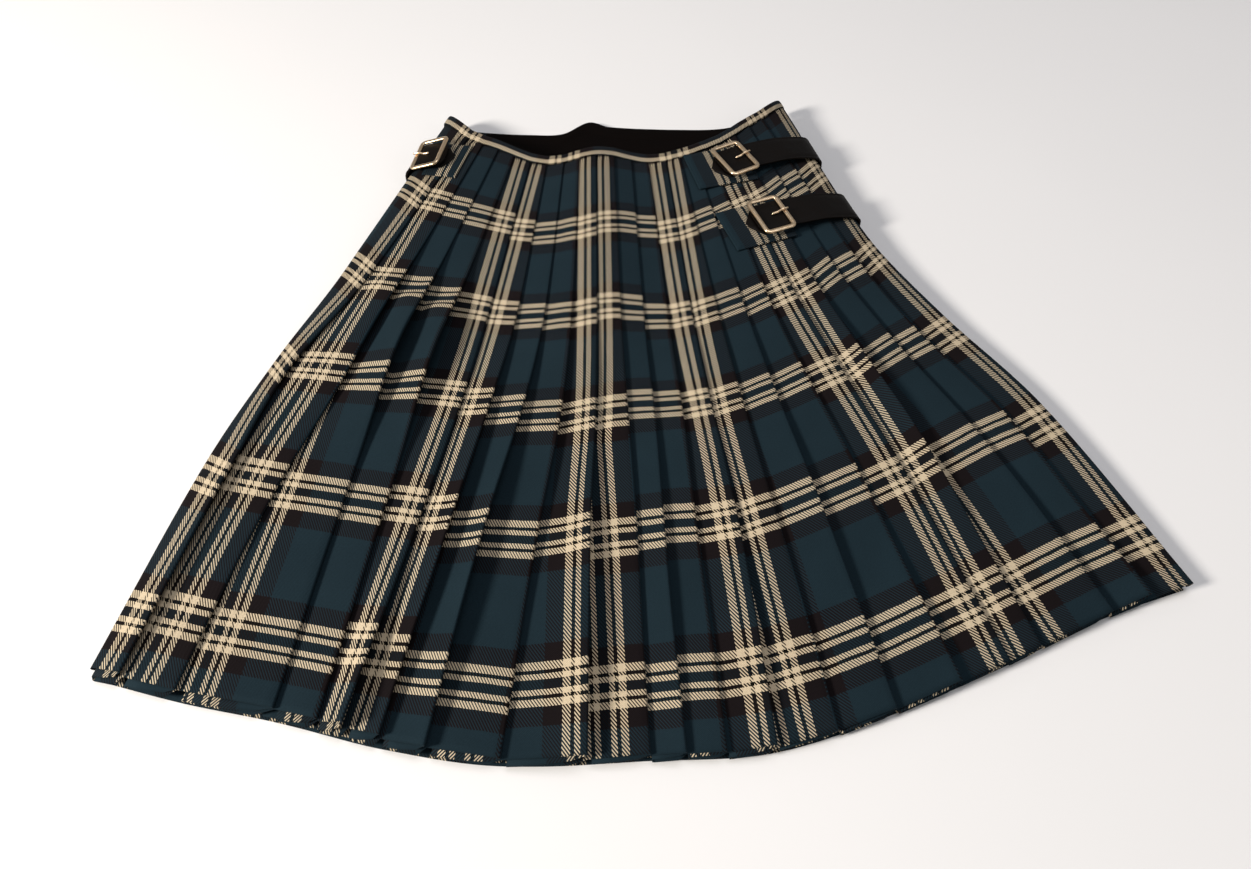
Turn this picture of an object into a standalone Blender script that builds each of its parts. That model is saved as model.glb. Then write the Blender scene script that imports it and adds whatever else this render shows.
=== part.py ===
"""A Scottish kilt laid flat on its aprons, with its pleated back uppermost.

X runs to the right, Y from hem to waist and Z up. The underside lies on Z = 0. Lengths below are in
millimetres, and `finish` turns them into metres and sets the origin under the middle of the whole kilt.

Two numbers place a point on the pleated back: `fold`, which counts the pleats from the left side (0) to the
right side (21), and `drop`, which runs from the waist (0) to the hem (1).
"""

import math
from collections import namedtuple

import bmesh
import bpy
from mathutils import Vector

MM = 0.001

# ---------------------------------------------------------------- driving sizes, in millimetres
GAP = 0.3                   # air between pieces that touch
LIE = 1.0                   # air between the tops of the pleats and a patch that lies on them
PLY = 0.8                   # air between the patches under a buckle, which bend with the pleats
CLOTH = 1.3                 # a panel of kilt cloth
PITCH = 2.0                 # from one layer of a pleat to the next
TUCK = 0.7                  # how far a pleat runs on under its neighbour, in pleats
TURN = 2.0                  # depth of the rounded turn at a fold
HEM_STEP = 5.0              # how far the hidden layers reach past the hem of the face
BAND_WIDTH = 12.0           # waistband, top edge to seam
FRONT_BAND_HEIGHT = 5.0     # the folded band on top of the aprons
LENGTH = 590.0              # waist to hem along a fold
FRONT_INSET = 2.0           # the aprons stay this far inside the sides of the back
FRONT_COLUMNS = 32          # columns of the flat front, shared by everything on it
LINING_THICKNESS = 1.0
LINING_DEPTH = 170.0
TAB_THICKNESS = 1.2
CHAPE_THICKNESS = 1.5
LEATHER = 2.0
STRAP_WIDTH = 34.0
STRAP_BEND = 9.0            # height at which a strap has turned down the side
FRAME_LONG = 45.0
FRAME_SHORT = 33.0
FRAME_BAR = 4.4
FRAME_THICKNESS = 2.8
PRONG_RADIUS = 1.2

Fold = namedtuple("Fold", "waist hip seat knee hem")
DROPS = Fold(waist=0.0, hip=0.36, seat=0.535, knee=0.71, hem=1.0)

# X of each fold line where it crosses five levels, from the left side to the right side.
FOLDS = (
    Fold(waist=-188, hip=-258, seat=-299, knee=-332, hem=-367),
    Fold(waist=-158, hip=-235, seat=-284, knee=-308, hem=-344),
    Fold(waist=-142, hip=-203, seat=-236, knee=-268, hem=-304),
    Fold(waist=-126, hip=-176, seat=-199, knee=-214, hem=-236),
    Fold(waist=-110, hip=-148, seat=-168, knee=-182, hem=-205),
    Fold(waist=-94, hip=-120, seat=-136, knee=-154, hem=-184),
    Fold(waist=-78, hip=-95, seat=-110, knee=-130, hem=-160),
    Fold(waist=-61, hip=-71, seat=-84, knee=-102, hem=-131),
    Fold(waist=-46, hip=-47, seat=-53, knee=-64, hem=-82),
    Fold(waist=-30, hip=-25, seat=-24, knee=-27, hem=-24),
    Fold(waist=-12, hip=-4, seat=1, knee=8, hem=17),
    Fold(waist=5, hip=16, seat=23, knee=29, hem=39),
    Fold(waist=22, hip=37, seat=46, knee=54, hem=65),
    Fold(waist=39, hip=58, seat=71, knee=84, hem=99),
    Fold(waist=53, hip=80, seat=97, knee=114, hem=139),
    Fold(waist=66, hip=103, seat=125, knee=147, hem=180),
    Fold(waist=80, hip=125, seat=153, knee=184, hem=228),
    Fold(waist=94, hip=147, seat=181, knee=217, hem=264),
    Fold(waist=109, hip=167, seat=202, knee=240, hem=288),
    Fold(waist=124, hip=187, seat=232, knee=282, hem=345),
    Fold(waist=139, hip=208, seat=254, knee=312, hem=376),
    Fold(waist=167, hip=229, seat=281, knee=343, hem=411),
)
PLEATS = len(FOLDS) - 1

Spot = namedtuple("Spot", "x y")
# Plan outlines, from left to right: top of the back, top of the front, and hem.
BACK_WAIST = (Spot(-189, 411), Spot(-155, 370), Spot(-131, 355), Spot(-75, 328), Spot(-16, 337),
              Spot(35, 333), Spot(87, 356), Spot(130, 396), Spot(168, 438))
FRONT_WAIST = (Spot(-189, 411), Spot(-145, 401), Spot(-100, 396), Spot(-67, 398), Spot(-40, 418),
               Spot(-18, 412), Spot(60, 410), Spot(110, 414), Spot(168, 438))
HEM = (Spot(-367, -191), Spot(-302, -207), Spot(-235, -220), Spot(-161, -238), Spot(-82, -253),
       Spot(17, -250), Spot(98, -245), Spot(180, -220), Spot(265, -186), Spot(346, -150), Spot(411, -128))

Level = namedtuple("Level", "drop crown")
# How high the back arches over the aprons, from waist to hem.
CROWNS = (Level(0.0, 22.0), Level(0.2, 19.0), Level(0.36, 14.0), Level(0.535, 8.0), Level(0.71, 4.0),
          Level(1.0, 1.0))
ARCH_POWER = 5.0

Ripple = namedtuple("Ripple", "fold spread height")
# Soft ridges and troughs that run down from the waist and fade below the hip.
RIPPLES = (Ripple(8.8, 1.7, 5.0), Ripple(5.2, 1.5, -2.5), Ripple(11.8, 1.5, -3.0))
RIPPLE_END = 0.60

Lift = namedtuple("Lift", "fold drop spread height")
# Fold edges that stand away from the pleat beside them.
LIFTS = (Lift(2, 0.42, 0.12, 3.0), Lift(3, 0.47, 0.10, 6.0), Lift(4, 0.48, 0.10, 7.0),
         Lift(5, 1.00, 0.12, 9.0), Lift(6, 0.80, 0.25, 3.0), Lift(7, 0.80, 0.25, 3.0),
         Lift(9, 0.85, 0.25, 5.0), Lift(18, 0.62, 0.16, 4.0), Lift(20, 1.00, 0.10, 4.0))

Fastening = namedtuple("Fastening", "name x y turn side tab_long tab_wide tab_shift tab_turn flat_end")
# One row for each buckle: plan centre, turn in degrees, the cloth tab under it with its own turn, and how far
# past the centre the strap runs on before it bends round the side.
FASTENINGS = (
    Fastening("upper", 107.5, 316, 29, 1, 62, 52, -14, 16, 12),
    Fastening("lower", 136, 237.5, 23, 1, 62, 52, -14.5, 21, 12),
    Fastening("left", -190, 327, 165, -1, 36, 50, -17, 165, 0),
)

# ---------------------------------------------------------------- levels of the layers
OVER_TOP = CLOTH
UNDER_LOW = OVER_TOP + GAP
UNDER_TOP = UNDER_LOW + CLOTH
EDGE_LOW = UNDER_TOP + GAP
TOOTH = 2 * PITCH
BASE = EDGE_LOW + TOOTH * TUCK + CLOTH / 2
FACE_TOP = TOOTH + CLOTH / 2
CHAPE_LOW = LIE + TAB_THICKNESS + PLY
STRAP_LOW = CHAPE_LOW + CHAPE_THICKNESS + PLY
STRAP_TOP = STRAP_LOW + LEATHER
ACROSS_PATCH = (-1.0, -0.5, 0.0, 0.5, 1.0)


def smooth(knots, at):
    """A smooth curve through (place, value) knots, read at one place."""
    if at <= knots[0][0]:
        return knots[0][1]
    if at >= knots[-1][0]:
        return knots[-1][1]
    last = len(knots) - 1
    k = max(i for i in range(last) if knots[i][0] <= at)
    (x0, y0), (x1, y1) = knots[k], knots[k + 1]
    before = knots[max(k - 1, 0)]
    after = knots[min(k + 2, last)]
    slope_0 = (y1 - before[1]) / (x1 - before[0])
    slope_1 = (after[1] - y0) / (after[0] - x0)
    span = x1 - x0
    t = (at - x0) / span
    return ((1 + 2 * t) * (1 - t) ** 2 * y0 + t * (1 - t) ** 2 * span * slope_0
            + t * t * (3 - 2 * t) * y1 + t * t * (t - 1) * span * slope_1)


def fold_line(index, drop):
    """Plan place of one fold line."""
    row = FOLDS[index]
    x = smooth(list(zip(DROPS, row)), drop)
    waist = smooth(BACK_WAIST, row.waist)
    hem = smooth(HEM, row.hem)
    return x, waist + (hem - waist) * drop


def plan(fold, drop):
    """Plan place of any point of the back, between the fold lines."""
    index = min(max(int(math.floor(fold)), 0), PLEATS - 1)
    part = fold - index
    xa, ya = fold_line(index, drop)
    xb, yb = fold_line(index + 1, drop)
    return xa + (xb - xa) * part, ya + (yb - ya) * part


def base(fold, drop):
    """Height of the back's middle surface where a pleat comes out from under its neighbour."""
    across = min(abs(2 * fold / PLEATS - 1), 1.0)
    arch = (1 - across ** ARCH_POWER) ** (1 / ARCH_POWER)
    fade = max(0.0, 1 - (drop / RIPPLE_END) ** 3)
    ripple = sum(r.height * math.exp(-((fold - r.fold) / r.spread) ** 2) for r in RIPPLES)
    return BASE + smooth(CROWNS, drop) * arch + ripple * fade


def lift(index, drop):
    """How far the edge of one fold stands up."""
    return sum(row.height * math.exp(-((drop - row.drop) / row.spread) ** 2)
               for row in LIFTS if row.fold == index)


def over_back(fold, drop):
    """A point on the smooth surface that touches the tops of the pleats."""
    x, y = plan(fold, drop)
    return Vector((x, y, base(fold, drop) + FACE_TOP))


def find(x, y):
    """The fold and drop of a plan place, found by closing in on it."""
    fold, drop = PLEATS / 2, 0.3
    for _ in range(12):
        lines = [fold_line(i, drop)[0] for i in range(PLEATS + 1)]
        index = min(max(sum(1 for line in lines if line <= x) - 1, 0), PLEATS - 1)
        fold = index + (x - lines[index]) / (lines[index + 1] - lines[index])
        fold = min(max(fold, 0.0), float(PLEATS))
        top = plan(fold, 0.0)[1]
        low = plan(fold, 1.0)[1]
        drop = min(max((top - y) / (top - low), 0.0), 1.0)
    return fold, drop


def on_back(x, y, out=0.0):
    """A point over a plan place on the back, moved out along the surface's own direction."""
    fold, drop = find(x, y)
    step = 0.12
    left = over_back(max(fold - step, 0.0), drop)
    right = over_back(min(fold + step, float(PLEATS)), drop)
    up = over_back(fold, max(drop - 0.01, 0.0))
    down = over_back(fold, min(drop + 0.01, 1.0))
    normal = (right - left).cross(up - down).normalized()
    return over_back(fold, drop) + normal * out, normal


# ---------------------------------------------------------------- mesh helpers
def new_object(name, bm, material, rounded=False):
    """Closes off a bmesh as one named object with its own material."""
    bmesh.ops.remove_doubles(bm, verts=bm.verts, dist=0.001)
    bmesh.ops.recalc_face_normals(bm, faces=bm.faces)
    mesh = bpy.data.meshes.new(name)
    bm.to_mesh(mesh)
    bm.free()
    mesh.materials.append(material)
    if rounded:
        mesh.shade_smooth()
    obj = bpy.data.objects.new(name, mesh)
    bpy.context.scene.collection.objects.link(obj)
    return obj


def finish_material(name, color, roughness, metallic=0.0):
    """A Principled material of one colour."""
    material = bpy.data.materials.new(name)
    material.use_nodes = True
    shader = material.node_tree.nodes["Principled BSDF"]
    shader.inputs["Base Color"].default_value = (*color, 1.0)
    shader.inputs["Roughness"].default_value = roughness
    shader.inputs["Metallic"].default_value = metallic
    return material


def loft(rings):
    """A closed body through rings that have the same number of points."""
    bm = bmesh.new()
    rows = [[bm.verts.new(point) for point in ring] for ring in rings]
    count = len(rows[0])
    for low, high in zip(rows, rows[1:]):
        for i in range(count):
            j = (i + 1) % count
            bm.faces.new((low[i], low[j], high[j], high[i]))
    bm.faces.new(rows[0])
    bm.faces.new(rows[-1])
    return bm


def plate(grid, thickness, direction=None):
    """A closed sheet under a grid of points; direction gives each point's way down."""
    bm = bmesh.new()
    top = [[bm.verts.new(point) for point in row] for row in grid]
    low = []
    for r, row in enumerate(grid):
        low.append([])
        for c, point in enumerate(row):
            way = direction[r][c] if direction else Vector((0, 0, -1))
            low[-1].append(bm.verts.new(point + way * thickness))
    rows, columns = len(grid), len(grid[0])
    for r in range(rows - 1):
        for c in range(columns - 1):
            bm.faces.new((top[r][c], top[r][c + 1], top[r + 1][c + 1], top[r + 1][c]))
            bm.faces.new((low[r][c], low[r + 1][c], low[r + 1][c + 1], low[r][c + 1]))
    rim = ([(0, c) for c in range(columns)] + [(r, columns - 1) for r in range(1, rows)]
           + [(rows - 1, c) for c in range(columns - 2, -1, -1)] + [(r, 0) for r in range(rows - 2, 0, -1)])
    for (r0, c0), (r1, c1) in zip(rim, rim[1:] + rim[:1]):
        bm.faces.new((top[r0][c0], low[r0][c0], low[r1][c1], top[r1][c1]))
    return bm


# ---------------------------------------------------------------- the pleated back
def pleat_section(drop):
    """Pairs of points, one on each side of the cloth, along the whole folded wall at one level."""
    half = CLOTH / 2
    hem_step = HEM_STEP if drop >= 1.0 else 0.0
    pairs = []

    def spot(fold, inset, height, step=0.0):
        index = min(max(math.ceil(fold) - 1, 0), PLEATS - 1)
        width = fold_line(index + 1, drop)[0] - fold_line(index, drop)[0]
        x, y = plan(fold + inset / width, drop)
        return Vector((x, y - step, height))

    def face(index, fold, inset, step=0.0):
        raised = lift(index, drop) * max(fold - (index - 1), 0.0) ** 2
        z = base(fold, drop) + TOOTH * (fold - (index - 1)) + raised
        return spot(fold, inset, z + half, step), spot(fold, inset, z - half, step)

    def middle(index, fold, inset, step=0.0):
        raised = 0.5 * lift(index, drop) * max((fold - index + TUCK) / TUCK, 0.0)
        z = base(fold, drop) + TOOTH * (fold - (index - 1)) - PITCH + raised
        return spot(fold, inset, z - half, step), spot(fold, inset, z + half, step)

    pairs.append((spot(0.0, 0.0, EDGE_LOW), spot(0.0, CLOTH, EDGE_LOW)))
    shoulder = base(0.12, drop) - 0.8
    pairs.append((spot(0.0, 0.6, shoulder), spot(0.0, 0.6 + CLOTH, shoulder - half)))
    for index in range(1, PLEATS + 1):
        if index == 1:
            pairs += [face(1, part, 0.0) for part in (0.12, 0.3, 0.6)]
        else:
            tuck = index - 1 - TUCK
            z = base(tuck, drop) - TOOTH * TUCK + PITCH / 2
            pairs.append((spot(tuck, TURN * 0.6, z, hem_step), spot(tuck, 0.0, z, hem_step)))
            pairs.append(face(index, tuck, TURN, hem_step))
            pairs.append(face(index, index - 1.0, 0.0, hem_step * 0.4))
            pairs.append(face(index, index - 0.5, 0.0))
        if index == PLEATS:
            pairs += [face(index, index - part, 0.0) for part in (0.3, 0.12)]
            break
        pairs.append(face(index, float(index), -TURN))
        top = face(index, float(index), 0.0)[1].z
        low = middle(index, float(index), 0.0)[1].z
        z = (top + low) / 2
        pairs.append((spot(float(index), 0.0, z), spot(float(index), -TURN * 0.6, z)))
        pairs.append(middle(index, float(index), -TURN, hem_step * 0.6))
        pairs.append(middle(index, index - TUCK, TURN, hem_step))
    end = float(PLEATS)
    shoulder = base(PLEATS - 0.12, drop) + TOOTH - 0.8
    pairs.append((spot(end, -0.6, shoulder), spot(end, -0.6 - CLOTH, shoulder - half)))
    pairs.append((spot(end, 0.0, EDGE_LOW), spot(end, -CLOTH, EDGE_LOW)))
    return pairs


def pleated_back(material):
    """One folded wall of cloth, from the waistband seam to the hem."""
    levels = (BAND_WIDTH + GAP) / LENGTH, 0.12, 0.24, 0.36, 0.48, 0.60, 0.74, 0.87, 1.0
    bm = bmesh.new()
    rows = []
    for drop in levels:
        pairs = pleat_section(drop)
        rows.append(([bm.verts.new(a) for a, _ in pairs], [bm.verts.new(b) for _, b in pairs]))
    for (out0, in0), (out1, in1) in zip(rows, rows[1:]):
        for i in range(len(out0) - 1):
            bm.faces.new((out0[i], out0[i + 1], out1[i + 1], out1[i]))
            bm.faces.new((in0[i], in1[i], in1[i + 1], in0[i + 1]))
        bm.faces.new((out0[0], out1[0], in1[0], in0[0]))
        bm.faces.new((out0[-1], in0[-1], in1[-1], out1[-1]))
    for outer, inner in (rows[0], rows[-1]):
        for i in range(len(outer) - 1):
            bm.faces.new((outer[i], outer[i + 1], inner[i + 1], inner[i]))
    return new_object("pleated_back", bm, material)


# ---------------------------------------------------------------- aprons, lining and waistband
def front_place(across, drop):
    """Plan place on the flat front; across and drop run from 0 to 1."""
    left = fold_line(0, drop)[0] + FRONT_INSET
    right = fold_line(PLEATS, drop)[0] - FRONT_INSET
    x = left + (right - left) * across
    top = smooth(FRONT_WAIST, FOLDS[0].waist + (FOLDS[-1].waist - FOLDS[0].waist) * across)
    low = smooth(HEM, FOLDS[0].hem + (FOLDS[-1].hem - FOLDS[0].hem) * across)
    return x, top + (low - top) * drop


def flat_panel(name, top, thickness, sides, ends, hem_lift, material, rows):
    """A flat panel of the front between two columns and two distances down from the waist."""
    grid = []
    for r in range(rows + 1):
        row = []
        for column in range(sides[0], sides[1] + 1):
            across = column / FRONT_COLUMNS
            drop = (ends[0] + (ends[1] - ends[0]) * r / rows) / LENGTH
            x, y = front_place(across, drop)
            row.append(Vector((x, y + hem_lift * drop, top)))
        grid.append(row)
    return new_object(name, plate(grid, thickness), material)


def waistband_front(material):
    """The folded band that closes the top of the aprons, flat underneath."""
    rings = []
    for column in range(FRONT_COLUMNS + 1):
        x, y = front_place(column / FRONT_COLUMNS, 0.0)
        height = FRONT_BAND_HEIGHT
        profile = ((-BAND_WIDTH, 0.0), (-1.0, 0.0), (0.0, 1.0), (0.0, height - 1.6), (-1.6, height),
                   (-BAND_WIDTH + 1.0, height), (-BAND_WIDTH, height - 1.0))
        rings.append([Vector((x, y + along, z)) for along, z in profile])
    return new_object("waistband_front", loft(rings), material)


def waistband_back(material):
    """The band folded over the top of the pleats, rolling down to the aprons at both sides."""
    folds = [0.0, 0.12, 0.3, 0.6] + [float(i) for i in range(1, PLEATS)]
    folds += [PLEATS - 0.6, PLEATS - 0.3, PLEATS - 0.12, float(PLEATS)]
    rings = []
    for fold in folds:
        x, top = plan(fold, 0.0)
        seam = plan(fold, BAND_WIDTH / LENGTH)
        middle = base(fold, 0.0)
        low = max(middle - TOOTH * TUCK - 0.6, FRONT_BAND_HEIGHT + GAP)
        high = middle + FACE_TOP + 0.6
        profile = ((0.0, low + 2.0), (0.0, high - 2.2), (0.18, high - 0.5), (1.0, high), (1.0, low),
                   (0.2, low))
        rings.append([Vector((x + (seam[0] - x) * part, top + (seam[1] - top) * part, z))
                      for part, z in profile])
    return new_object("waistband_back", loft(rings), material)


# ---------------------------------------------------------------- tabs, leather and buckles
def directions(turn, side):
    """Unit directions in plan: away from the pleats towards the side, and up the kilt."""
    angle = math.radians(turn)
    outward = Vector((math.cos(angle), math.sin(angle), 0))
    upward = Vector((-outward.y, outward.x, 0)) * side
    return outward, upward


def middle_of(row):
    """Plan centre of a buckle."""
    return Vector((row.x, row.y, 0))


def line_on_back(places, out):
    """Points over some plan places, and each one's way down."""
    points, ways = [], []
    for place in places:
        point, normal = on_back(place.x, place.y, out)
        points.append(point)
        ways.append(-normal)
    return points, ways


def patch(row, turn, spans, out):
    """Grid and ways down of a patch on the back; spans lists (distance outward, half width) from end to end."""
    outward, upward = directions(turn, row.side)
    grid, ways = [], []
    for distance, half in spans:
        places = [middle_of(row) + outward * distance + upward * half * part for part in ACROSS_PATCH]
        line, way = line_on_back(places, out)
        grid.append(line)
        ways.append(way)
    return grid, ways


def steps(start, end, count):
    """Evenly spaced numbers from start to end."""
    return [start + (end - start) * i / count for i in range(count + 1)]


def cloth_tab(row, material):
    """The piece of cloth that the buckle's leather is sewn to."""
    reach = row.tab_long / 2
    spans = [(row.tab_shift + d, row.tab_wide / 2) for d in steps(-reach, reach, 9)]
    grid, ways = patch(row, row.tab_turn, spans, LIE + TAB_THICKNESS)
    return new_object("tab_" + row.name, plate(grid, TAB_THICKNESS, ways), material)


def chape(row, material):
    """Leather under the buckle, with a blunt point towards the pleats."""
    half = STRAP_WIDTH / 2
    spans = [(-30.0, 5.0), (-25.0, half - 3.0)] + [(d, half - 1.0) for d in steps(-20.0, -4.0, 4)]
    grid, ways = patch(row, row.turn, spans, CHAPE_LOW + CHAPE_THICKNESS)
    return new_object("chape_" + row.name, plate(grid, CHAPE_THICKNESS, ways), material)


def side_edge(y, side):
    """X of the kilt's side at a given distance up."""
    index = 0 if side < 0 else PLEATS
    top = fold_line(index, 0.0)[1]
    low = fold_line(index, 1.0)[1]
    return fold_line(index, (top - y) / (top - low))[0]


def reach_side(start, outward, side):
    """Where a plan line meets the kilt's side, found by closing in on it."""
    place = start
    for _ in range(12):
        place = start + outward * ((side_edge(place.y, side) - start.x) / outward.x)
    return place


def strap(row, material):
    """Leather from beyond the buckle to the side, where it turns down to the apron's edge."""
    outward, upward = directions(row.turn, row.side)
    half = STRAP_WIDTH / 2
    spans = [(-25.0, 4.0), (-20.0, half - 3.0)] + [(d, half) for d in range(-16, row.flat_end + 1, 4)]
    grid, ways = patch(row, row.turn, spans, STRAP_TOP)
    starts = [middle_of(row) + outward * row.flat_end + upward * half * part for part in ACROSS_PATCH]
    ends = [reach_side(start, outward, row.side) for start in starts]
    for share in (0.3, 0.5, 0.7, 0.85, 0.95):
        line, way = line_on_back([start + (end - start) * share for start, end in zip(starts, ends)], STRAP_TOP)
        grid.append(line)
        ways.append(way)
    for height in (STRAP_BEND, GAP):
        grid.append([Vector((end.x + row.side * STRAP_TOP, end.y, height)) for end in ends])
        ways.append([Vector((-row.side, 0, 0))] * len(ends))
    return new_object("strap_" + row.name, plate(grid, LEATHER, ways), material)


def buckle_axes(row, leather_piece):
    """Centre and three directions of a buckle that lies flat on its strap."""
    outward, upward = directions(row.turn, row.side)
    reach_x, reach_y = (FRAME_SHORT - FRAME_BAR) / 2, (FRAME_LONG - FRAME_BAR) / 2

    def at(a, b):
        place = middle_of(row) + outward * a + upward * b
        return on_back(place.x, place.y, STRAP_TOP)[0]

    along_x = (at(reach_x, 0) - at(-reach_x, 0)).normalized()
    along_y = (at(0, reach_y) - at(0, -reach_y)).normalized()
    normal = along_x.cross(along_y).normalized() * row.side
    along_y = normal.cross(along_x).normalized()
    middle = at(0, 0)
    offsets = [vertex.co - middle for vertex in leather_piece.data.vertices]
    under = (o for o in offsets if abs(o.dot(along_x)) < reach_x + 5 and abs(o.dot(along_y)) < reach_y + 5)
    rise = max(o.dot(normal) for o in under)
    return middle + normal * (rise + GAP + FRAME_THICKNESS / 2), along_x, along_y, normal


def rounded_box(width, height, radius, segments=3):
    """Outline of a rectangle with round corners, as (x, y) pairs."""
    points = []
    for quarter, (sx, sy) in enumerate(((1, 1), (-1, 1), (-1, -1), (1, -1))):
        for i in range(segments + 1):
            angle = math.pi / 2 * (quarter + i / segments)
            points.append((sx * (width / 2 - radius) + radius * math.cos(angle),
                           sy * (height / 2 - radius) + radius * math.sin(angle)))
    return points


def buckle_frame(row, leather_piece, material):
    """A square-cornered ring of metal bar with softened edges."""
    centre, along_x, along_y, normal = buckle_axes(row, leather_piece)
    bar, thick, edge, corner = FRAME_BAR, FRAME_THICKNESS, 1.2, 5.0
    profile = ((0.0, -thick / 2), (0.0, thick / 4), (edge, thick / 2), (bar - edge, thick / 2),
               (bar, thick / 4), (bar, -thick / 2))
    bm = bmesh.new()
    loops = []
    for inset, height in profile:
        outline = rounded_box(FRAME_SHORT - 2 * inset, FRAME_LONG - 2 * inset, max(corner - inset, 0.8))
        loops.append([bm.verts.new(centre + along_x * x + along_y * y + normal * height)
                      for x, y in outline])
    for first, second in zip(loops, loops[1:] + loops[:1]):
        for i in range(len(first)):
            j = (i + 1) % len(first)
            bm.faces.new((first[i], first[j], second[j], second[i]))
    return new_object("buckle_" + row.name, bm, material, rounded=True)


def prong(row, leather_piece, material):
    """The tongue, from the middle of the strap to rest over the outer bar."""
    centre, along_x, along_y, normal = buckle_axes(row, leather_piece)
    reach = FRAME_SHORT / 2 - FRAME_BAR - 0.8
    over = FRAME_THICKNESS / 2 + PRONG_RADIUS + GAP
    route = ((0.5, PRONG_RADIUS - FRAME_THICKNESS / 2 + GAP), (reach * 0.55, 0.4), (reach, over),
             (FRAME_SHORT / 2 + 0.5, over))
    rings = []
    for along, height in route:
        middle = centre + along_x * along + normal * height
        rings.append([middle + along_y * (PRONG_RADIUS * math.cos(math.tau * i / 8))
                      + normal * (PRONG_RADIUS * math.sin(math.tau * i / 8)) for i in range(8)])
    return new_object("prong_" + row.name, loft(rings), material, rounded=True)


def finish(objects):
    """Turns millimetres into metres and puts the origin under the middle of the kilt."""
    corners = [vertex.co for obj in objects for vertex in obj.data.vertices]
    middle_x = (min(c.x for c in corners) + max(c.x for c in corners)) / 2
    middle_y = (min(c.y for c in corners) + max(c.y for c in corners)) / 2
    lowest = min(c.z for c in corners)
    for obj in objects:
        for vertex in obj.data.vertices:
            vertex.co = (vertex.co - Vector((middle_x, middle_y, lowest))) * MM


def main():
    """Builds every piece of the kilt."""
    for old in list(bpy.data.objects):
        bpy.data.objects.remove(old)
    tartan = finish_material("tartan", (0.035, 0.075, 0.09), 0.9)
    apron = finish_material("tartan_apron", (0.04, 0.08, 0.095), 0.9)
    band = finish_material("tartan_band", (0.32, 0.27, 0.19), 0.9)
    lining = finish_material("lining", (0.01, 0.009, 0.009), 0.85)
    leather = finish_material("leather", (0.012, 0.009, 0.008), 0.5)
    brass = finish_material("brass", (0.75, 0.52, 0.28), 0.3, 1.0)

    below_band = BAND_WIDTH + GAP
    objects = [
        flat_panel("over_apron", OVER_TOP, CLOTH, (0, FRONT_COLUMNS), (below_band, LENGTH), 5.0, apron, 5),
        flat_panel("under_apron", UNDER_TOP, CLOTH, (5, FRONT_COLUMNS), (below_band, LENGTH), 8.0, apron, 5),
        flat_panel("lining_front", EDGE_LOW + LINING_THICKNESS, LINING_THICKNESS, (5, FRONT_COLUMNS - 5),
                   (below_band, LINING_DEPTH), 0.0, lining, 3),
        waistband_front(band),
        pleated_back(tartan),
        waistband_back(band),
    ]
    for row in FASTENINGS:
        leather_piece = strap(row, leather)
        objects += [cloth_tab(row, tartan), chape(row, leather), leather_piece,
                    buckle_frame(row, leather_piece, brass), prong(row, leather_piece, brass)]
    finish(objects)


main()
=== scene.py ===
"""A pleated Scottish kilt lying on its aprons, with the pleated back uppermost.

The cutting plan below is in millimetres: X to the right, Y from hem to waist, Z up. Two numbers place a point
on the pleated back: fold counts the pleats from the left side (0) to the right side (21), and drop runs from
the waist (0) to the hem (1). to_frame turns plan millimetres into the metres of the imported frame.
"""

import logging
import math
from collections.abc import Callable, Sequence
from dataclasses import dataclass, field
from enum import Enum
from itertools import accumulate

import bmesh
import bpy
import numpy as np
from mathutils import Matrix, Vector


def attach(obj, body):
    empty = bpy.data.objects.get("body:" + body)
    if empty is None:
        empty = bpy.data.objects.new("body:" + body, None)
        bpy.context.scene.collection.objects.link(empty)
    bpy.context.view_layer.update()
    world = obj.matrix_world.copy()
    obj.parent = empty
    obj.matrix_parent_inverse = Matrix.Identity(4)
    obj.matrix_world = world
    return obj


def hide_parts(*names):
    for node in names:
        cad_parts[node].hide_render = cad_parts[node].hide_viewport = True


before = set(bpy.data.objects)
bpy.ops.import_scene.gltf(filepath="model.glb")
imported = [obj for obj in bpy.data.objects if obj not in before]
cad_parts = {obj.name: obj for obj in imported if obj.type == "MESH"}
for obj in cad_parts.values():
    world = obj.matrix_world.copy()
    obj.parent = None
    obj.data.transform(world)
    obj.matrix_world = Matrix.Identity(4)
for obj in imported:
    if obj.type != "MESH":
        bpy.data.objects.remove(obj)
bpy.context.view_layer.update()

LOG = logging.getLogger("kilt")
MM = 0.001
ORIGIN = np.array((22.0, 90.296, 0.0))     # middle of the whole kilt on the cutting plan, mm
WEAVE = "weave"                            # the UV map that follows the threads, in metres
NEAR_EDGE = (0.004, 0.012, 0.03, 0.07, 0.14, 0.25)   # folds from a side, close together where it rounds over
SETT = 110.0                               # one repeat of the tartan across the cloth, mm
WEFT_START = 15.25                         # place in the repeat at the top of the cloth, mm
ROUNDS = 12                                # how many steps close in on a place
MATH, NOISE, BUMP = "ShaderNodeMath", "ShaderNodeTexNoise", "ShaderNodeBump"


class Slot(Enum):
    """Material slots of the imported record."""

    TARTAN = "tartan"
    LINING = "lining"
    LEATHER = "leather"
    METAL = "buckle_metal"


class Hold(Enum):
    """How a sheet of cloth is held."""

    LAID = "laid"
    FOLDED = "folded"


# ---------------------------------------------------------------- number helpers
def linear(code: str) -> tuple[float, float, float, float]:
    """Turns an sRGB hex colour into linear light.

    Args:
        code: Six hex digits after a hash.

    Returns:
        Red, green, blue and alpha.
    """
    parts = [int(code[i:i + 2], 16) / 255 for i in (1, 3, 5)]
    return (*[c / 12.92 if c <= 0.04045 else ((c + 0.055) / 1.055) ** 2.4 for c in parts], 1.0)


def to_frame(points: np.ndarray) -> np.ndarray:
    """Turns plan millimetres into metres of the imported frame."""
    return (points - ORIGIN) * MM


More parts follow.
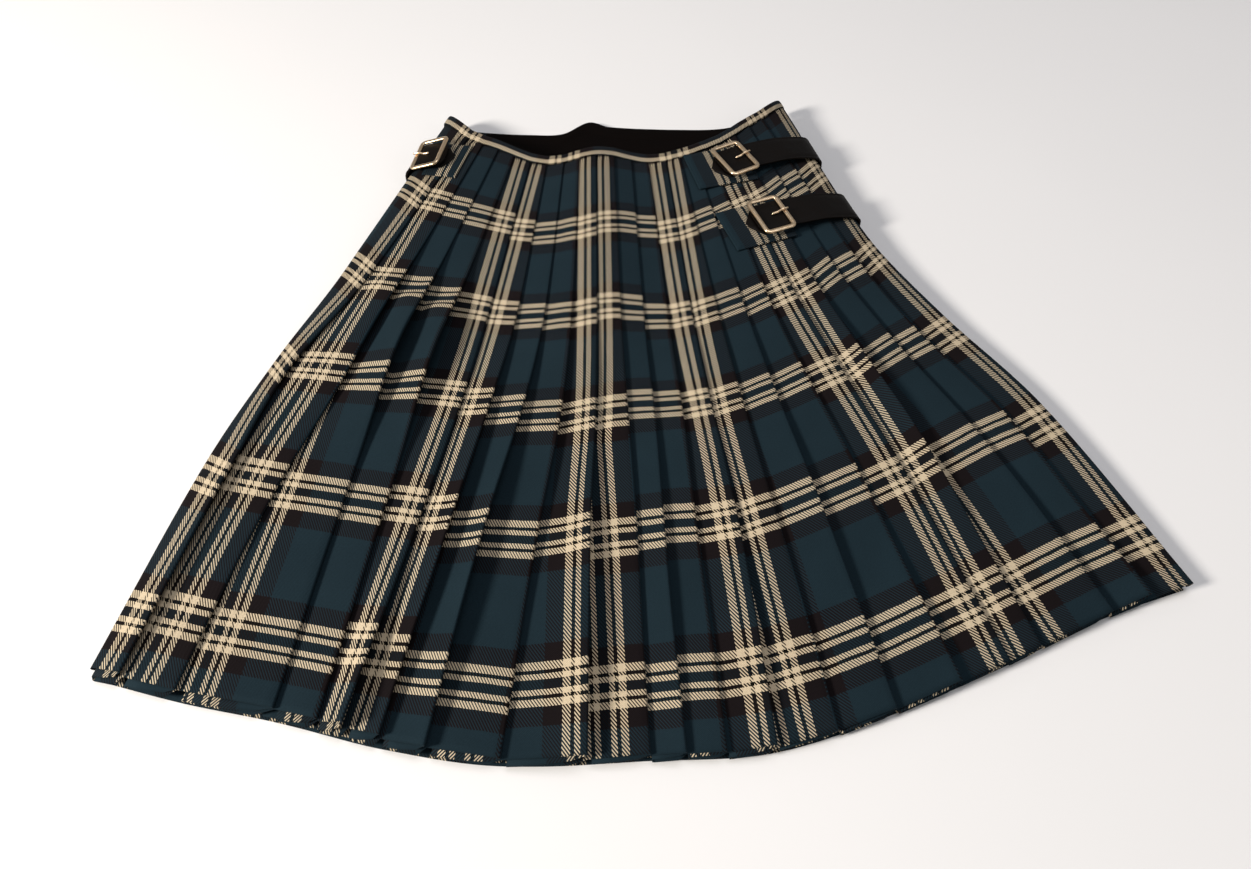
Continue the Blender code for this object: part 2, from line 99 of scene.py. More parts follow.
def smooth(places: Sequence[float], values: Sequence[float], at: np.ndarray) -> np.ndarray:
    """Reads a smooth curve through (place, value) knots.

    Args:
        places: Rising places of the knots.
        values: One value a knot.
        at: Where to read the curve.

    Returns:
        The curve's value at each place.
    """
    knots, heights = np.asarray(places, float), np.asarray(values, float)
    at = np.clip(at, knots[0], knots[-1])
    last = len(knots) - 1
    k = np.clip(np.searchsorted(knots, at, side="right") - 1, 0, last - 1)
    before, after = np.maximum(k - 1, 0), np.minimum(k + 2, last)
    x0, x1, y0, y1 = knots[k], knots[k + 1], heights[k], heights[k + 1]
    slope_0 = (y1 - heights[before]) / (x1 - knots[before])
    slope_1 = (heights[after] - y0) / (knots[after] - x0)
    span = x1 - x0
    t = (at - x0) / span
    return ((1 + 2 * t) * (1 - t) ** 2 * y0 + t * (1 - t) ** 2 * span * slope_0
            + t * t * (3 - 2 * t) * y1 + t * t * (t - 1) * span * slope_1)


def ramp(start: float, end: float, at: np.ndarray) -> np.ndarray:
    """A soft step from 0 at start to 1 at end."""
    t = np.clip((at - start) / (end - start), 0.0, 1.0)
    return t * t * (3 - 2 * t)


def bell(middle: float, spread: float, at: np.ndarray) -> np.ndarray:
    """A soft bump of height 1."""
    return np.exp(-((at - middle) / spread) ** 2)


def run_of(profile: Sequence[tuple[float, float]]) -> list[float]:
    """Length of a profile from its start to each of its points."""
    return [0.0, *accumulate(math.dist(near, far) for near, far in zip(profile, profile[1:]))]


# ---------------------------------------------------------------- mesh helpers
def table_mesh(name: str, points: np.ndarray, weave: np.ndarray, joins: bool = False) -> bpy.types.Object:
    """Makes a sheet through a table of points.

    Args:
        name: The piece's name.
        points: Rows by columns by three, in plan millimetres.
        weave: Rows by columns by two, along the threads, in millimetres.
        joins: Whether opposite edges meet and are welded.

    Returns:
        The object, linked to the scene.
    """
    rows, columns = points.shape[:2]
    bm = bmesh.new()
    bmesh.ops.create_grid(bm, x_segments=columns - 1, y_segments=rows - 1, size=1.0)
    mesh = bpy.data.meshes.new(name)
    bm.to_mesh(mesh)
    bm.free()
    flat = np.empty(len(mesh.vertices) * 3)
    mesh.vertices.foreach_get("co", flat)
    flat = flat.reshape(-1, 3)
    column = np.rint((flat[:, 0] + 1) / 2 * (columns - 1)).astype(int)
    row = np.rint((1 - flat[:, 1]) / 2 * (rows - 1)).astype(int)
    mesh.vertices.foreach_set("co", to_frame(points[row, column]).ravel())
    layer = mesh.uv_layers.new(name=WEAVE)
    corners = np.empty(len(mesh.loops), int)
    mesh.loops.foreach_get("vertex_index", corners)
    layer.data.foreach_set("uv", (weave[row[corners], column[corners]] * MM).ravel())
    if joins:
        bm = bmesh.new()
        bm.from_mesh(mesh)
        bmesh.ops.remove_doubles(bm, verts=bm.verts, dist=1e-6)
        bmesh.ops.recalc_face_normals(bm, faces=bm.faces)
        bm.to_mesh(mesh)
        bm.free()
    mesh.shade_smooth()
    mesh.update()
    obj = bpy.data.objects.new(name, mesh)
    bpy.context.scene.collection.objects.link(obj)
    return obj


def thicken(obj: bpy.types.Object, thickness: float, offset: float = 0.0) -> None:
    """Gives a sheet its wall.

    Args:
        obj: The sheet.
        thickness: Wall in millimetres.
        offset: 0 about the sheet, 1 above it and -1 below it.
    """
    wall = obj.modifiers.new("wall", "SOLIDIFY")
    wall.thickness = thickness * MM
    wall.offset = offset


def soften(obj: bpy.types.Object, width: float, segments: int = 2) -> None:
    """Rounds the edges of a piece by width millimetres.

    Args:
        obj: The piece.
        width: Width of the rounding, in millimetres.
        segments: Faces across it.
    """
    bevel = obj.modifiers.new("soft edges", "BEVEL")
    bevel.width = width * MM
    bevel.segments = segments
    bevel.limit_method = "ANGLE"
    bevel.angle_limit = math.radians(50)
    bevel.use_clamp_overlap = True


def declare(obj: bpy.types.Object, material: bpy.types.Material, slot: Slot, *nodes: str) -> bpy.types.Object:
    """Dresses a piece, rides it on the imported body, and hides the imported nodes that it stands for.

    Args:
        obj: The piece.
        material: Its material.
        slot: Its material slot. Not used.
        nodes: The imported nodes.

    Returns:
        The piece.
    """
    dress(obj, material)
    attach(obj, "root")
    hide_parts(*nodes)
    LOG.info("%s: %d faces", obj.name, len(obj.data.polygons))
    return obj


def dress(obj: bpy.types.Object, material: bpy.types.Material) -> bpy.types.Object:
    """Gives a piece its only material.

    Args:
        obj: The piece.
        material: The material.

    Returns:
        The piece.
    """
    obj.data.materials.clear()
    obj.data.materials.append(material)
    return obj


# ---------------------------------------------------------------- finishes
def fill(tree: bpy.types.NodeTree, node: bpy.types.Node, inputs: dict[str | int, object]) -> None:
    """Sets or links some inputs of a node.

    Args:
        tree: The material's node tree.
        node: The node.
        inputs: A value to set, or a socket or node to link, for each named or numbered input. A node stands
            for its first output.
    """
    for key, value in inputs.items():
        source = value.outputs[0] if isinstance(value, bpy.types.Node) else value
        if isinstance(source, bpy.types.NodeSocket):
            tree.links.new(source, node.inputs[key])
        else:
            node.inputs[key].default_value = source


def add_node(tree: bpy.types.NodeTree, kind: str, inputs: dict[str | int, object] | None = None,
             **settings: object) -> bpy.types.Node:
    """Adds one shader node with its settings and links.

    Args:
        tree: The material's node tree.
        kind: The node's type name.
        inputs: What to set or link, as in fill.
        settings: Other properties of the node.

    Returns:
        The new node.
    """
    node = tree.nodes.new(kind)
    for key, value in settings.items():
        setattr(node, key, value)
    fill(tree, node, inputs or {})
    return node


def new_material(name: str) -> tuple[bpy.types.Material, bpy.types.NodeTree, bpy.types.Node]:
    """Makes a material with one Principled shader.

    Args:
        name: The material's own name.

    Returns:
        The material, its node tree and its shader.
    """
    material = bpy.data.materials.new(name)
    material.use_nodes = True
    return material, material.node_tree, material.node_tree.nodes["Principled BSDF"]


@dataclass(frozen=True)
class TartanFinish:
    """Worsted wool tartan in two-and-two twill: even diagonal lines, matt, with a faint bloom at a slant, and
    painted shade in the grooves between the lines.
    """

    name: str = "worsted_wool_tartan"
    cream: str = "#c6b498"
    black: str = "#0e0b07"
    navy: str = "#10161a"
    border: str = "#151011"
    teal: str = "#19272e"
    sett_down: float = 109.0     # one repeat along the cloth, mm
    twill_across: float = 2.2    # coarser than the real 1.5 mm, so that the lines show
    twill_down: float = 3.0
    crossing: tuple[float, float] = (0.42, 0.74)    # where in half a line one yarn gives way to the other
    stray: float = 0.8           # how far the stripes' edges stray, mm
    stray_width: float = 50 / 7  # from one stray to the next, mm
    fuzz_width: float = 10 / 9   # one tuft of the yarn, mm
    patch_width: float = 500 / 11    # one lighter or darker patch, mm
    # how much the fuzz, the patches and the crown of each line change the brightness, and the least of it;
    # the crown's part darkens the grooves between the lines as painted shade
    fuzz: tuple[float, float] = (0.5, 0.62)
    tone: tuple[float, float] = (0.28, 0.86)
    crown_and_shade: tuple[float, float] = (0.30, 0.80)
    fuzz_rise: float = 0.3       # how much of the weave's height the fuzz adds
    relief: float = 0.22         # depth of the weave, mm

    def stripes(self) -> list[tuple[float, str]]:
        """Start of each stripe in the repeat, in millimetres, and its yarn."""
        return [(0.0, self.cream), (5.5, self.black), (8.0, self.cream), (12.0, self.navy),
                (18.5, self.cream), (22.5, self.black), (25.0, self.cream), (30.5, self.border),
                (43.5, self.teal), (97.0, self.border)]

    def yarns(self, tree: bpy.types.NodeTree, share: bpy.types.Node) -> bpy.types.Node:
        """Colour of the yarns that run one way.

        Args:
            tree: The material's node tree.
            share: Place in the repeat, from 0 to 1.

        Returns:
            The node that gives the colour.
        """
        node = add_node(tree, "ShaderNodeValToRGB", {"Fac": share})
        node.color_ramp.interpolation = "CONSTANT"
        elements = node.color_ramp.elements
        for place, _ in self.stripes()[1:-1]:
            elements.new(place / SETT)
        for element, (place, yarn) in zip(elements, self.stripes()):
            element.position = place / SETT
            element.color = linear(yarn)
        return node

    def build(self) -> bpy.types.Material:
        """Makes the material.

        Returns:
            The material.
        """
        material, tree, shader = new_material(self.name)
        place = add_node(tree, "ShaderNodeUVMap", uv_map=WEAVE)
        axes = add_node(tree, "ShaderNodeSeparateXYZ", {"Vector": place})
        stray = add_node(tree, NOISE, {"Vector": place, "Scale": 1 / (self.stray_width * MM), "Detail": 1.0})
        sway = add_node(tree, MATH, {0: stray, 1: self.stray * MM, 2: -self.stray / 2 * MM},
                        operation="MULTIPLY_ADD")
        across = add_node(tree, MATH, {0: axes.outputs["X"], 1: sway}, operation="ADD")
        down = add_node(tree, MATH, {0: axes.outputs["Y"], 1: sway}, operation="ADD")
        warp_run = add_node(tree, MATH, {0: across, 1: SETT * MM}, operation="DIVIDE")
        weft_run = add_node(tree, MATH, {0: down, 1: 1 / (self.sett_down * MM), 2: WEFT_START / SETT},
                            operation="MULTIPLY_ADD")
        warp = self.yarns(tree, add_node(tree, MATH, {0: warp_run}, operation="FRACT"))
        weft = self.yarns(tree, add_node(tree, MATH, {0: weft_run}, operation="FRACT"))
        twill_x = add_node(tree, MATH, {0: axes.outputs["X"], 1: self.twill_across * MM}, operation="DIVIDE")
        twill_y = add_node(tree, MATH, {0: axes.outputs["Y"], 1: self.twill_down * MM}, operation="DIVIDE")
        lines = add_node(tree, MATH, {0: twill_x, 1: twill_y}, operation="SUBTRACT")
        phase = add_node(tree, MATH, {0: lines}, operation="FRACT")
        centred = add_node(tree, MATH, {0: phase, 1: 2.0, 2: -1.0}, operation="MULTIPLY_ADD")
        slope = add_node(tree, MATH, {0: centred}, operation="ABSOLUTE")
        start, end = self.crossing
        over = add_node(tree, "ShaderNodeMapRange", {"Value": slope, "From Min": start, "From Max": end},
                        interpolation_type="SMOOTHSTEP")
        cloth = add_node(tree, "ShaderNodeMix", {"Factor": over, 6: weft, 7: warp}, data_type="RGBA")
        # the crown is 1 on the middle of each twill line and 0 in the groove between lines; it shapes the
        # bump and also paints shade
        folded = add_node(tree, MATH, {0: slope, 1: 2.0, 2: -1.0}, operation="MULTIPLY_ADD")
        crown_and_shade = add_node(tree, MATH, {0: folded}, operation="ABSOLUTE")
        yarn = add_node(tree, NOISE, {"Vector": place, "Scale": 1 / (self.fuzz_width * MM), "Detail": 2.0})
        patch = add_node(tree, NOISE, {"Vector": place, "Scale": 1 / (self.patch_width * MM), "Detail": 2.0})
        value = 1.0
        # the crown's factor darkens the grooves between the twill lines: painted shade
        for source, (change, least) in ((yarn, self.fuzz), (patch, self.tone), (crown_and_shade, self.crown_and_shade)):
            part = add_node(tree, MATH, {0: source, 1: change, 2: least}, operation="MULTIPLY_ADD")
            value = add_node(tree, MATH, {0: value, 1: part}, operation="MULTIPLY")
        tinted = add_node(tree, "ShaderNodeHueSaturation", {"Color": cloth.outputs[2], "Value": value})
        height = add_node(tree, MATH, {0: yarn, 1: self.fuzz_rise, 2: crown_and_shade}, operation="MULTIPLY_ADD")
        bump = add_node(tree, BUMP, {"Height": height, "Strength": 0.6, "Distance": self.relief * MM})
        fill(tree, shader, {"Base Color": tinted, "Normal": bump, "Roughness": 0.82, "IOR": 1.45,
                            "Specular IOR Level": 0.05, "Sheen Weight": 0.01, "Sheen Roughness": 0.5})
        return material


@dataclass(frozen=True)
class LiningFinish:
    """Black plain-weave cotton: fine even threads, very dark and nearly matt."""

    name: str = "black_cotton_lining"
    colour: str = "#060302"
    thread: float = 0.7          # coarser than the real 0.3 mm, so that it shows
    patch_width: float = 50 / 3  # one lighter or darker patch, mm
    # how much the patches change the brightness and the roughness, and the least of each
    tone: tuple[float, float] = (0.6, 0.7)
    gloss: tuple[float, float] = (0.2, 0.6)
    relief: float = 0.08         # depth of the weave, mm

    def build(self) -> bpy.types.Material:
        """Makes the material.

        Returns:
            The material.
        """
        material, tree, shader = new_material(self.name)
        place = add_node(tree, "ShaderNodeUVMap", uv_map=WEAVE)
        axes = add_node(tree, "ShaderNodeSeparateXYZ", {"Vector": place})
        turns = add_node(tree, MATH, {0: axes.outputs["Y"], 1: math.tau / (self.thread * MM)},
                         operation="MULTIPLY")
        threads = add_node(tree, MATH, {0: turns}, operation="SINE")
        patch = add_node(tree, NOISE, {"Vector": place, "Scale": 1 / (self.patch_width * MM), "Detail": 3.0})
        value, rough = (add_node(tree, MATH, {0: patch, 1: change, 2: least}, operation="MULTIPLY_ADD")
                        for change, least in (self.tone, self.gloss))
        tinted = add_node(tree, "ShaderNodeHueSaturation", {"Color": linear(self.colour), "Value": value})
        bump = add_node(tree, BUMP, {"Height": threads, "Strength": 0.3, "Distance": self.relief * MM})
        fill(tree, shader, {"Base Color": tinted, "Normal": bump, "Roughness": rough,
                            "Specular IOR Level": 0.04})
        return material


@dataclass(frozen=True)
class LeatherFinish:
    """Black bridle leather, waxed and burnished: a fine pebble, brown-black, with a low gloss."""

    name: str = "black_bridle_leather"
    colour: str = "#080402"
    pebble: float = 0.9          # grain width, mm
    crease_width: float = 100 / 9    # from one crease to the next, mm
    # how much the creases change the brightness and the roughness, and the least of each
    tone: tuple[float, float] = (0.9, 0.55)
    gloss: tuple[float, float] = (0.3, 0.42)
    crease_rise: float = 1.5     # height of a crease against that of the pebble
    relief: float = 0.15         # depth of the grain, mm

    def build(self) -> bpy.types.Material:
        """Makes the material.

        Returns:
            The material.
        """
        material, tree, shader = new_material(self.name)
        place = add_node(tree, "ShaderNodeTexCoord").outputs["Object"]
        grain = add_node(tree, "ShaderNodeTexVoronoi",
                         {"Vector": place, "Scale": 1 / (self.pebble * MM), "Randomness": 1.0})
        creases = add_node(tree, NOISE,
                           {"Vector": place, "Scale": 1 / (self.crease_width * MM), "Detail": 5.0})
        value, rough = (add_node(tree, MATH, {0: creases, 1: change, 2: least}, operation="MULTIPLY_ADD")
                        for change, least in (self.tone, self.gloss))
        tinted = add_node(tree, "ShaderNodeHueSaturation", {"Color": linear(self.colour), "Value": value})
        height = add_node(tree, MATH, {0: creases, 1: self.crease_rise, 2: grain.outputs["Distance"]},
                          operation="MULTIPLY_ADD")
        bump = add_node(tree, BUMP, {"Height": height, "Strength": 0.5, "Distance": self.relief * MM})
        fill(tree, shader, {"Base Color": tinted, "Normal": bump, "Roughness": rough,
                            "Specular IOR Level": 0.1})
        return material


@dataclass(frozen=True)
class GiltFinish:
    """Gilt brass, cast and polished, a little rubbed: warm gold with soft scratches in its gloss."""

    name: str = "gilt_brass"
    colour: str = "#f6e2c4"
    rubbed: str = "#c8a274"
    wear_width: float = 50 / 13  # one rubbed patch, mm
    # how much the wear changes the roughness, and the least of it
    gloss: tuple[float, float] = (0.20, 0.22)
    relief: float = 0.1          # depth of the wear, mm

    def build(self) -> bpy.types.Material:
        """Makes the material.

        Returns:
            The material.
        """
        material, tree, shader = new_material(self.name)
        place = add_node(tree, "ShaderNodeTexCoord").outputs["Object"]
        wear = add_node(tree, NOISE, {"Vector": place, "Scale": 1 / (self.wear_width * MM), "Detail": 4.0})
        gold = add_node(tree, "ShaderNodeMix",
                        {"Factor": wear, 6: linear(self.colour), 7: linear(self.rubbed)}, data_type="RGBA")
        change, least = self.gloss
        rough = add_node(tree, MATH, {0: wear, 1: change, 2: least}, operation="MULTIPLY_ADD")
        bump = add_node(tree, BUMP, {"Height": wear, "Strength": 0.15, "Distance": self.relief * MM})
        fill(tree, shader, {"Base Color": gold.outputs[2], "Normal": bump, "Roughness": rough,
                            "Metallic": 1.0})
        return material


@dataclass(frozen=True)
class FloorFinish:
    """Matt white paper for the floor."""

    name: str = "matt_white_paper"
    colour: str = "#dddbda"
    cloud_width: float = 1000 / 3    # one faint cloud in the white, mm
    # how much the clouds change the brightness, and the least of it
    tone: tuple[float, float] = (0.04, 0.98)

    def build(self) -> bpy.types.Material:
        """Makes the material.

        Returns:
            The material.
        """
        material, tree, shader = new_material(self.name)
        place = add_node(tree, "ShaderNodeTexCoord").outputs["Object"]
        clouds = add_node(tree, NOISE, {"Vector": place, "Scale": 1 / (self.cloud_width * MM), "Detail": 2.0})
        change, least = self.tone
        value = add_node(tree, MATH, {0: clouds, 1: change, 2: least}, operation="MULTIPLY_ADD")
        tinted = add_node(tree, "ShaderNodeHueSaturation", {"Color": linear(self.colour), "Value": value})
        fill(tree, shader, {"Base Color": tinted, "Roughness": 0.9})
        return material


# ---------------------------------------------------------------- the form of the whole kilt
@dataclass(frozen=True)
class Lift:
    """Where one fold edge stands away from the pleat beside it."""

    fold: int
    drop: float
    spread: float                # in drops
    height: float                # mm


@dataclass(frozen=True)
class Puff:
    """Where the face of one pleat swells: sharply at its top end and softly below."""

    pleat: int
    drop: float
    head: float                  # spread above the middle, in drops
    tail: float                  # and below it
    height: float                # mm


@dataclass
class KiltForm:
    """The plan outline, heights and folds that every piece shares."""

    length: float = 590.0        # waist to hem along the middle
    pitch: float = 2.0           # from layer to layer where the pleats are free
    tuck: float = 0.92           # how far each pleat runs on under its neighbour, in pleats
    face_top: float = 4.65       # highest face over the middle surface
    base_low: float = 6.65       # the middle surface at the sides
    side_low: float = 3.2        # where the rounded sides start
    front_inset: float = 2.0     # how far the front stays inside the sides
    arch_power: float = 5.0      # the higher, the flatter the middle of the back
    ripple_end: float = 0.60     # drop where the waist's ripples have died out
    drops: tuple[float, ...] = (0.0, 0.36, 0.535, 0.71, 1.0)
    # X of each fold line at the five drops, from the left side to the right side
    folds: tuple[tuple[float, ...], ...] = (
        (-188, -258, -299, -332, -367), (-158, -235, -284, -308, -344), (-142, -203, -236, -268, -304),
        (-126, -176, -199, -214, -236), (-110, -148, -168, -182, -205), (-94, -120, -136, -154, -184),
        (-78, -95, -110, -130, -160), (-61, -71, -84, -102, -131), (-46, -47, -53, -64, -82),
        (-30, -25, -24, -27, -24), (-12, -4, 1, 8, 17), (5, 16, 23, 29, 39), (22, 37, 46, 54, 65),
        (39, 58, 71, 84, 99), (53, 80, 97, 114, 139), (66, 103, 125, 147, 180), (80, 125, 153, 184, 228),
        (94, 147, 181, 217, 264), (109, 167, 202, 240, 288), (124, 187, 232, 282, 345),
        (139, 208, 254, 312, 376), (167, 229, 281, 343, 411))
    # X and Y along the back edge of the waist, its front edge and the hem, from left to right
    back_waist: tuple[tuple[float, float], ...] = (
        (-189, 411), (-155, 370), (-131, 355), (-75, 328), (-16, 337), (35, 333), (87, 356), (130, 396),
        (168, 438))
    front_waist: tuple[tuple[float, float], ...] = (
        (-189, 411), (-145, 405), (-100, 402), (-67, 404), (-40, 424), (-18, 416), (60, 411), (110, 414),
        (168, 438))
    hem: tuple[tuple[float, float], ...] = (
        (-367, -191), (-302, -207), (-235, -220), (-161, -238), (-82, -253), (17, -250), (98, -245),
        (180, -220), (265, -186), (346, -150), (411, -128))
    # drops, and how far the middle of the back stands above its sides there
    crowns: tuple[tuple[float, float], ...] = (
        (0.0, 22.0), (0.2, 19.0), (0.36, 14.0), (0.535, 8.0), (0.71, 4.0), (1.0, 1.0))
    # fold, spread in folds and height of each ripple along the waist
    ripples: tuple[tuple[float, float, float], ...] = ((8.8, 1.7, 5.0), (5.2, 1.5, -2.5), (11.8, 1.5, -3.0))
    steps: int = 600             # even steps at which the fold lines are read
    lines_x: np.ndarray = field(init=False, repr=False)
    lines_y: np.ndarray = field(init=False, repr=False)

    def __post_init__(self) -> None:
        """Reads every fold line once, at even drops."""
        drops = np.linspace(0, 1, self.steps + 1)
        self.lines_x = np.stack([smooth(self.drops, row, drops) for row in self.folds], axis=1)
        top = smooth(*zip(*self.back_waist), np.array([row[0] for row in self.folds], float))
        low = smooth(*zip(*self.hem), np.array([row[-1] for row in self.folds], float))
        self.lines_y = top + (low - top) * drops[:, None]

    @property
    def pleats(self) -> int:
        """How many pleats the back has."""
        return len(self.folds) - 1

    def plan(self, fold: np.ndarray, drop: np.ndarray) -> tuple[np.ndarray, np.ndarray]:
        """Plan place of any point of the back.

        Args:
            fold: Fold numbers.
            drop: Drops, of the same shape.

        Returns:
            X and Y in millimetres.
        """
        row = np.clip(drop, 0, 1) * self.steps
        r = np.minimum(row.astype(int), self.steps - 1)
        c = np.clip(np.floor(fold).astype(int), 0, self.pleats - 1)
        down, side = row - r, fold - c
        places = []
        for table in (self.lines_x, self.lines_y):
            high = table[r, c] * (1 - side) + table[r, c + 1] * side
            low = table[r + 1, c] * (1 - side) + table[r + 1, c + 1] * side
            places.append(high * (1 - down) + low * down)
        return places[0], places[1]

    def width(self, pleat: np.ndarray, drop: np.ndarray) -> np.ndarray:
        """Plan width of a pleat's face."""
        return self.plan(pleat + 0.0, drop)[0] - self.plan(pleat - 1.0, drop)[0]

    def base(self, fold: np.ndarray, drop: np.ndarray) -> np.ndarray:
        """Height of the back's middle surface, where a pleat comes out from under its neighbour.

        Args:
            fold: Fold numbers.
            drop: Drops, of the same shape.

        Returns:
            Heights in millimetres.
        """
        across = np.clip(np.abs(2 * fold / self.pleats - 1), 0, 1)
        arch = (1 - across ** self.arch_power) ** (1 / self.arch_power)
        fade = np.maximum(0.0, 1 - (drop / self.ripple_end) ** 3)
        swell = sum(height * bell(middle, spread, fold) for middle, spread, height in self.ripples)
        return self.base_low + smooth(*zip(*self.crowns), drop) * arch + swell * fade

    def over_back(self, fold: np.ndarray, drop: np.ndarray) -> np.ndarray:
        """Points on the smooth surface that touches the tops of the pleats."""
        x, y = self.plan(fold, drop)
        return np.stack([x, y, self.base(fold, drop) + self.face_top], axis=-1)

    def find(self, x: np.ndarray, y: np.ndarray) -> tuple[np.ndarray, np.ndarray]:
        """Fold and drop of plan places, found by closing in on them.

        Args:
            x: Plan X.
            y: Plan Y, of the same shape.

        Returns:
            Fold numbers and drops.
        """
        drop = np.full(x.shape, 0.3)
        fold = np.full(x.shape, self.pleats / 2)
        for _ in range(ROUNDS):
            lines = np.stack([self.plan(np.full(x.shape, float(i)), drop)[0] for i in range(self.pleats + 1)])
            index = np.clip((lines <= x).sum(axis=0) - 1, 0, self.pleats - 1)
            left = np.take_along_axis(lines, index[None], 0)[0]
            right = np.take_along_axis(lines, index[None] + 1, 0)[0]
            fold = np.clip(index + (x - left) / (right - left), 0.0, self.pleats)
            top = self.plan(fold, np.zeros_like(drop))[1]
            low = self.plan(fold, np.ones_like(drop))[1]
            drop = np.clip((top - y) / (top - low), 0.0, 1.0)
        return fold, drop

    def on_back(self, x: np.ndarray, y: np.ndarray, out: np.ndarray | float) -> np.ndarray:
        """Points over plan places on the back, moved out along the surface's own direction.

        Args:
            x: Plan X.
            y: Plan Y.
            out: How far out, in millimetres.

        Returns:
            The points.
        """
        fold, drop = self.find(x, y)
        step = 0.12
        left = self.over_back(np.maximum(fold - step, 0.0), drop)
        right = self.over_back(np.minimum(fold + step, self.pleats), drop)
        up = self.over_back(fold, np.maximum(drop - 0.01, 0.0))
        down = self.over_back(fold, np.minimum(drop + 0.01, 1.0))
        normal = np.cross(right - left, up - down)
        normal /= np.linalg.norm(normal, axis=-1, keepdims=True)
        return self.over_back(fold, drop) + normal * np.asarray(out)[..., None]

    def side_edge(self, y: np.ndarray, side: int) -> np.ndarray:
        """X of the kilt's side at some places up it."""
        line = 0 if side < 0 else self.pleats
        return np.interp(y, self.lines_y[::-1, line], self.lines_x[::-1, line])

    def front_place(self, across: np.ndarray, drop: np.ndarray) -> tuple[np.ndarray, np.ndarray]:
        """Plan place on the flat front.

        Args:
            across: 0 at the left side to 1 at the right.
            drop: 0 at the waist to 1 at the hem.

        Returns:
            X and Y in millimetres.
        """
        left = self.plan(np.zeros_like(drop), drop)[0] + self.front_inset
        right = self.plan(np.full_like(drop, self.pleats), drop)[0] - self.front_inset
        first, last = self.folds[0], self.folds[-1]
        top = smooth(*zip(*self.front_waist), first[0] + (last[0] - first[0]) * across)
        low = smooth(*zip(*self.hem), first[-1] + (last[-1] - first[-1]) * across)
        return left + (right - left) * across, top + (low - top) * drop


# ---------------------------------------------------------------- the pleated back
class Layer(Enum):
    """The four stretches of cloth in one knife pleat."""

    FACE = 0
    TURN = 1
    MIDDLE = 2
    INNER = 3


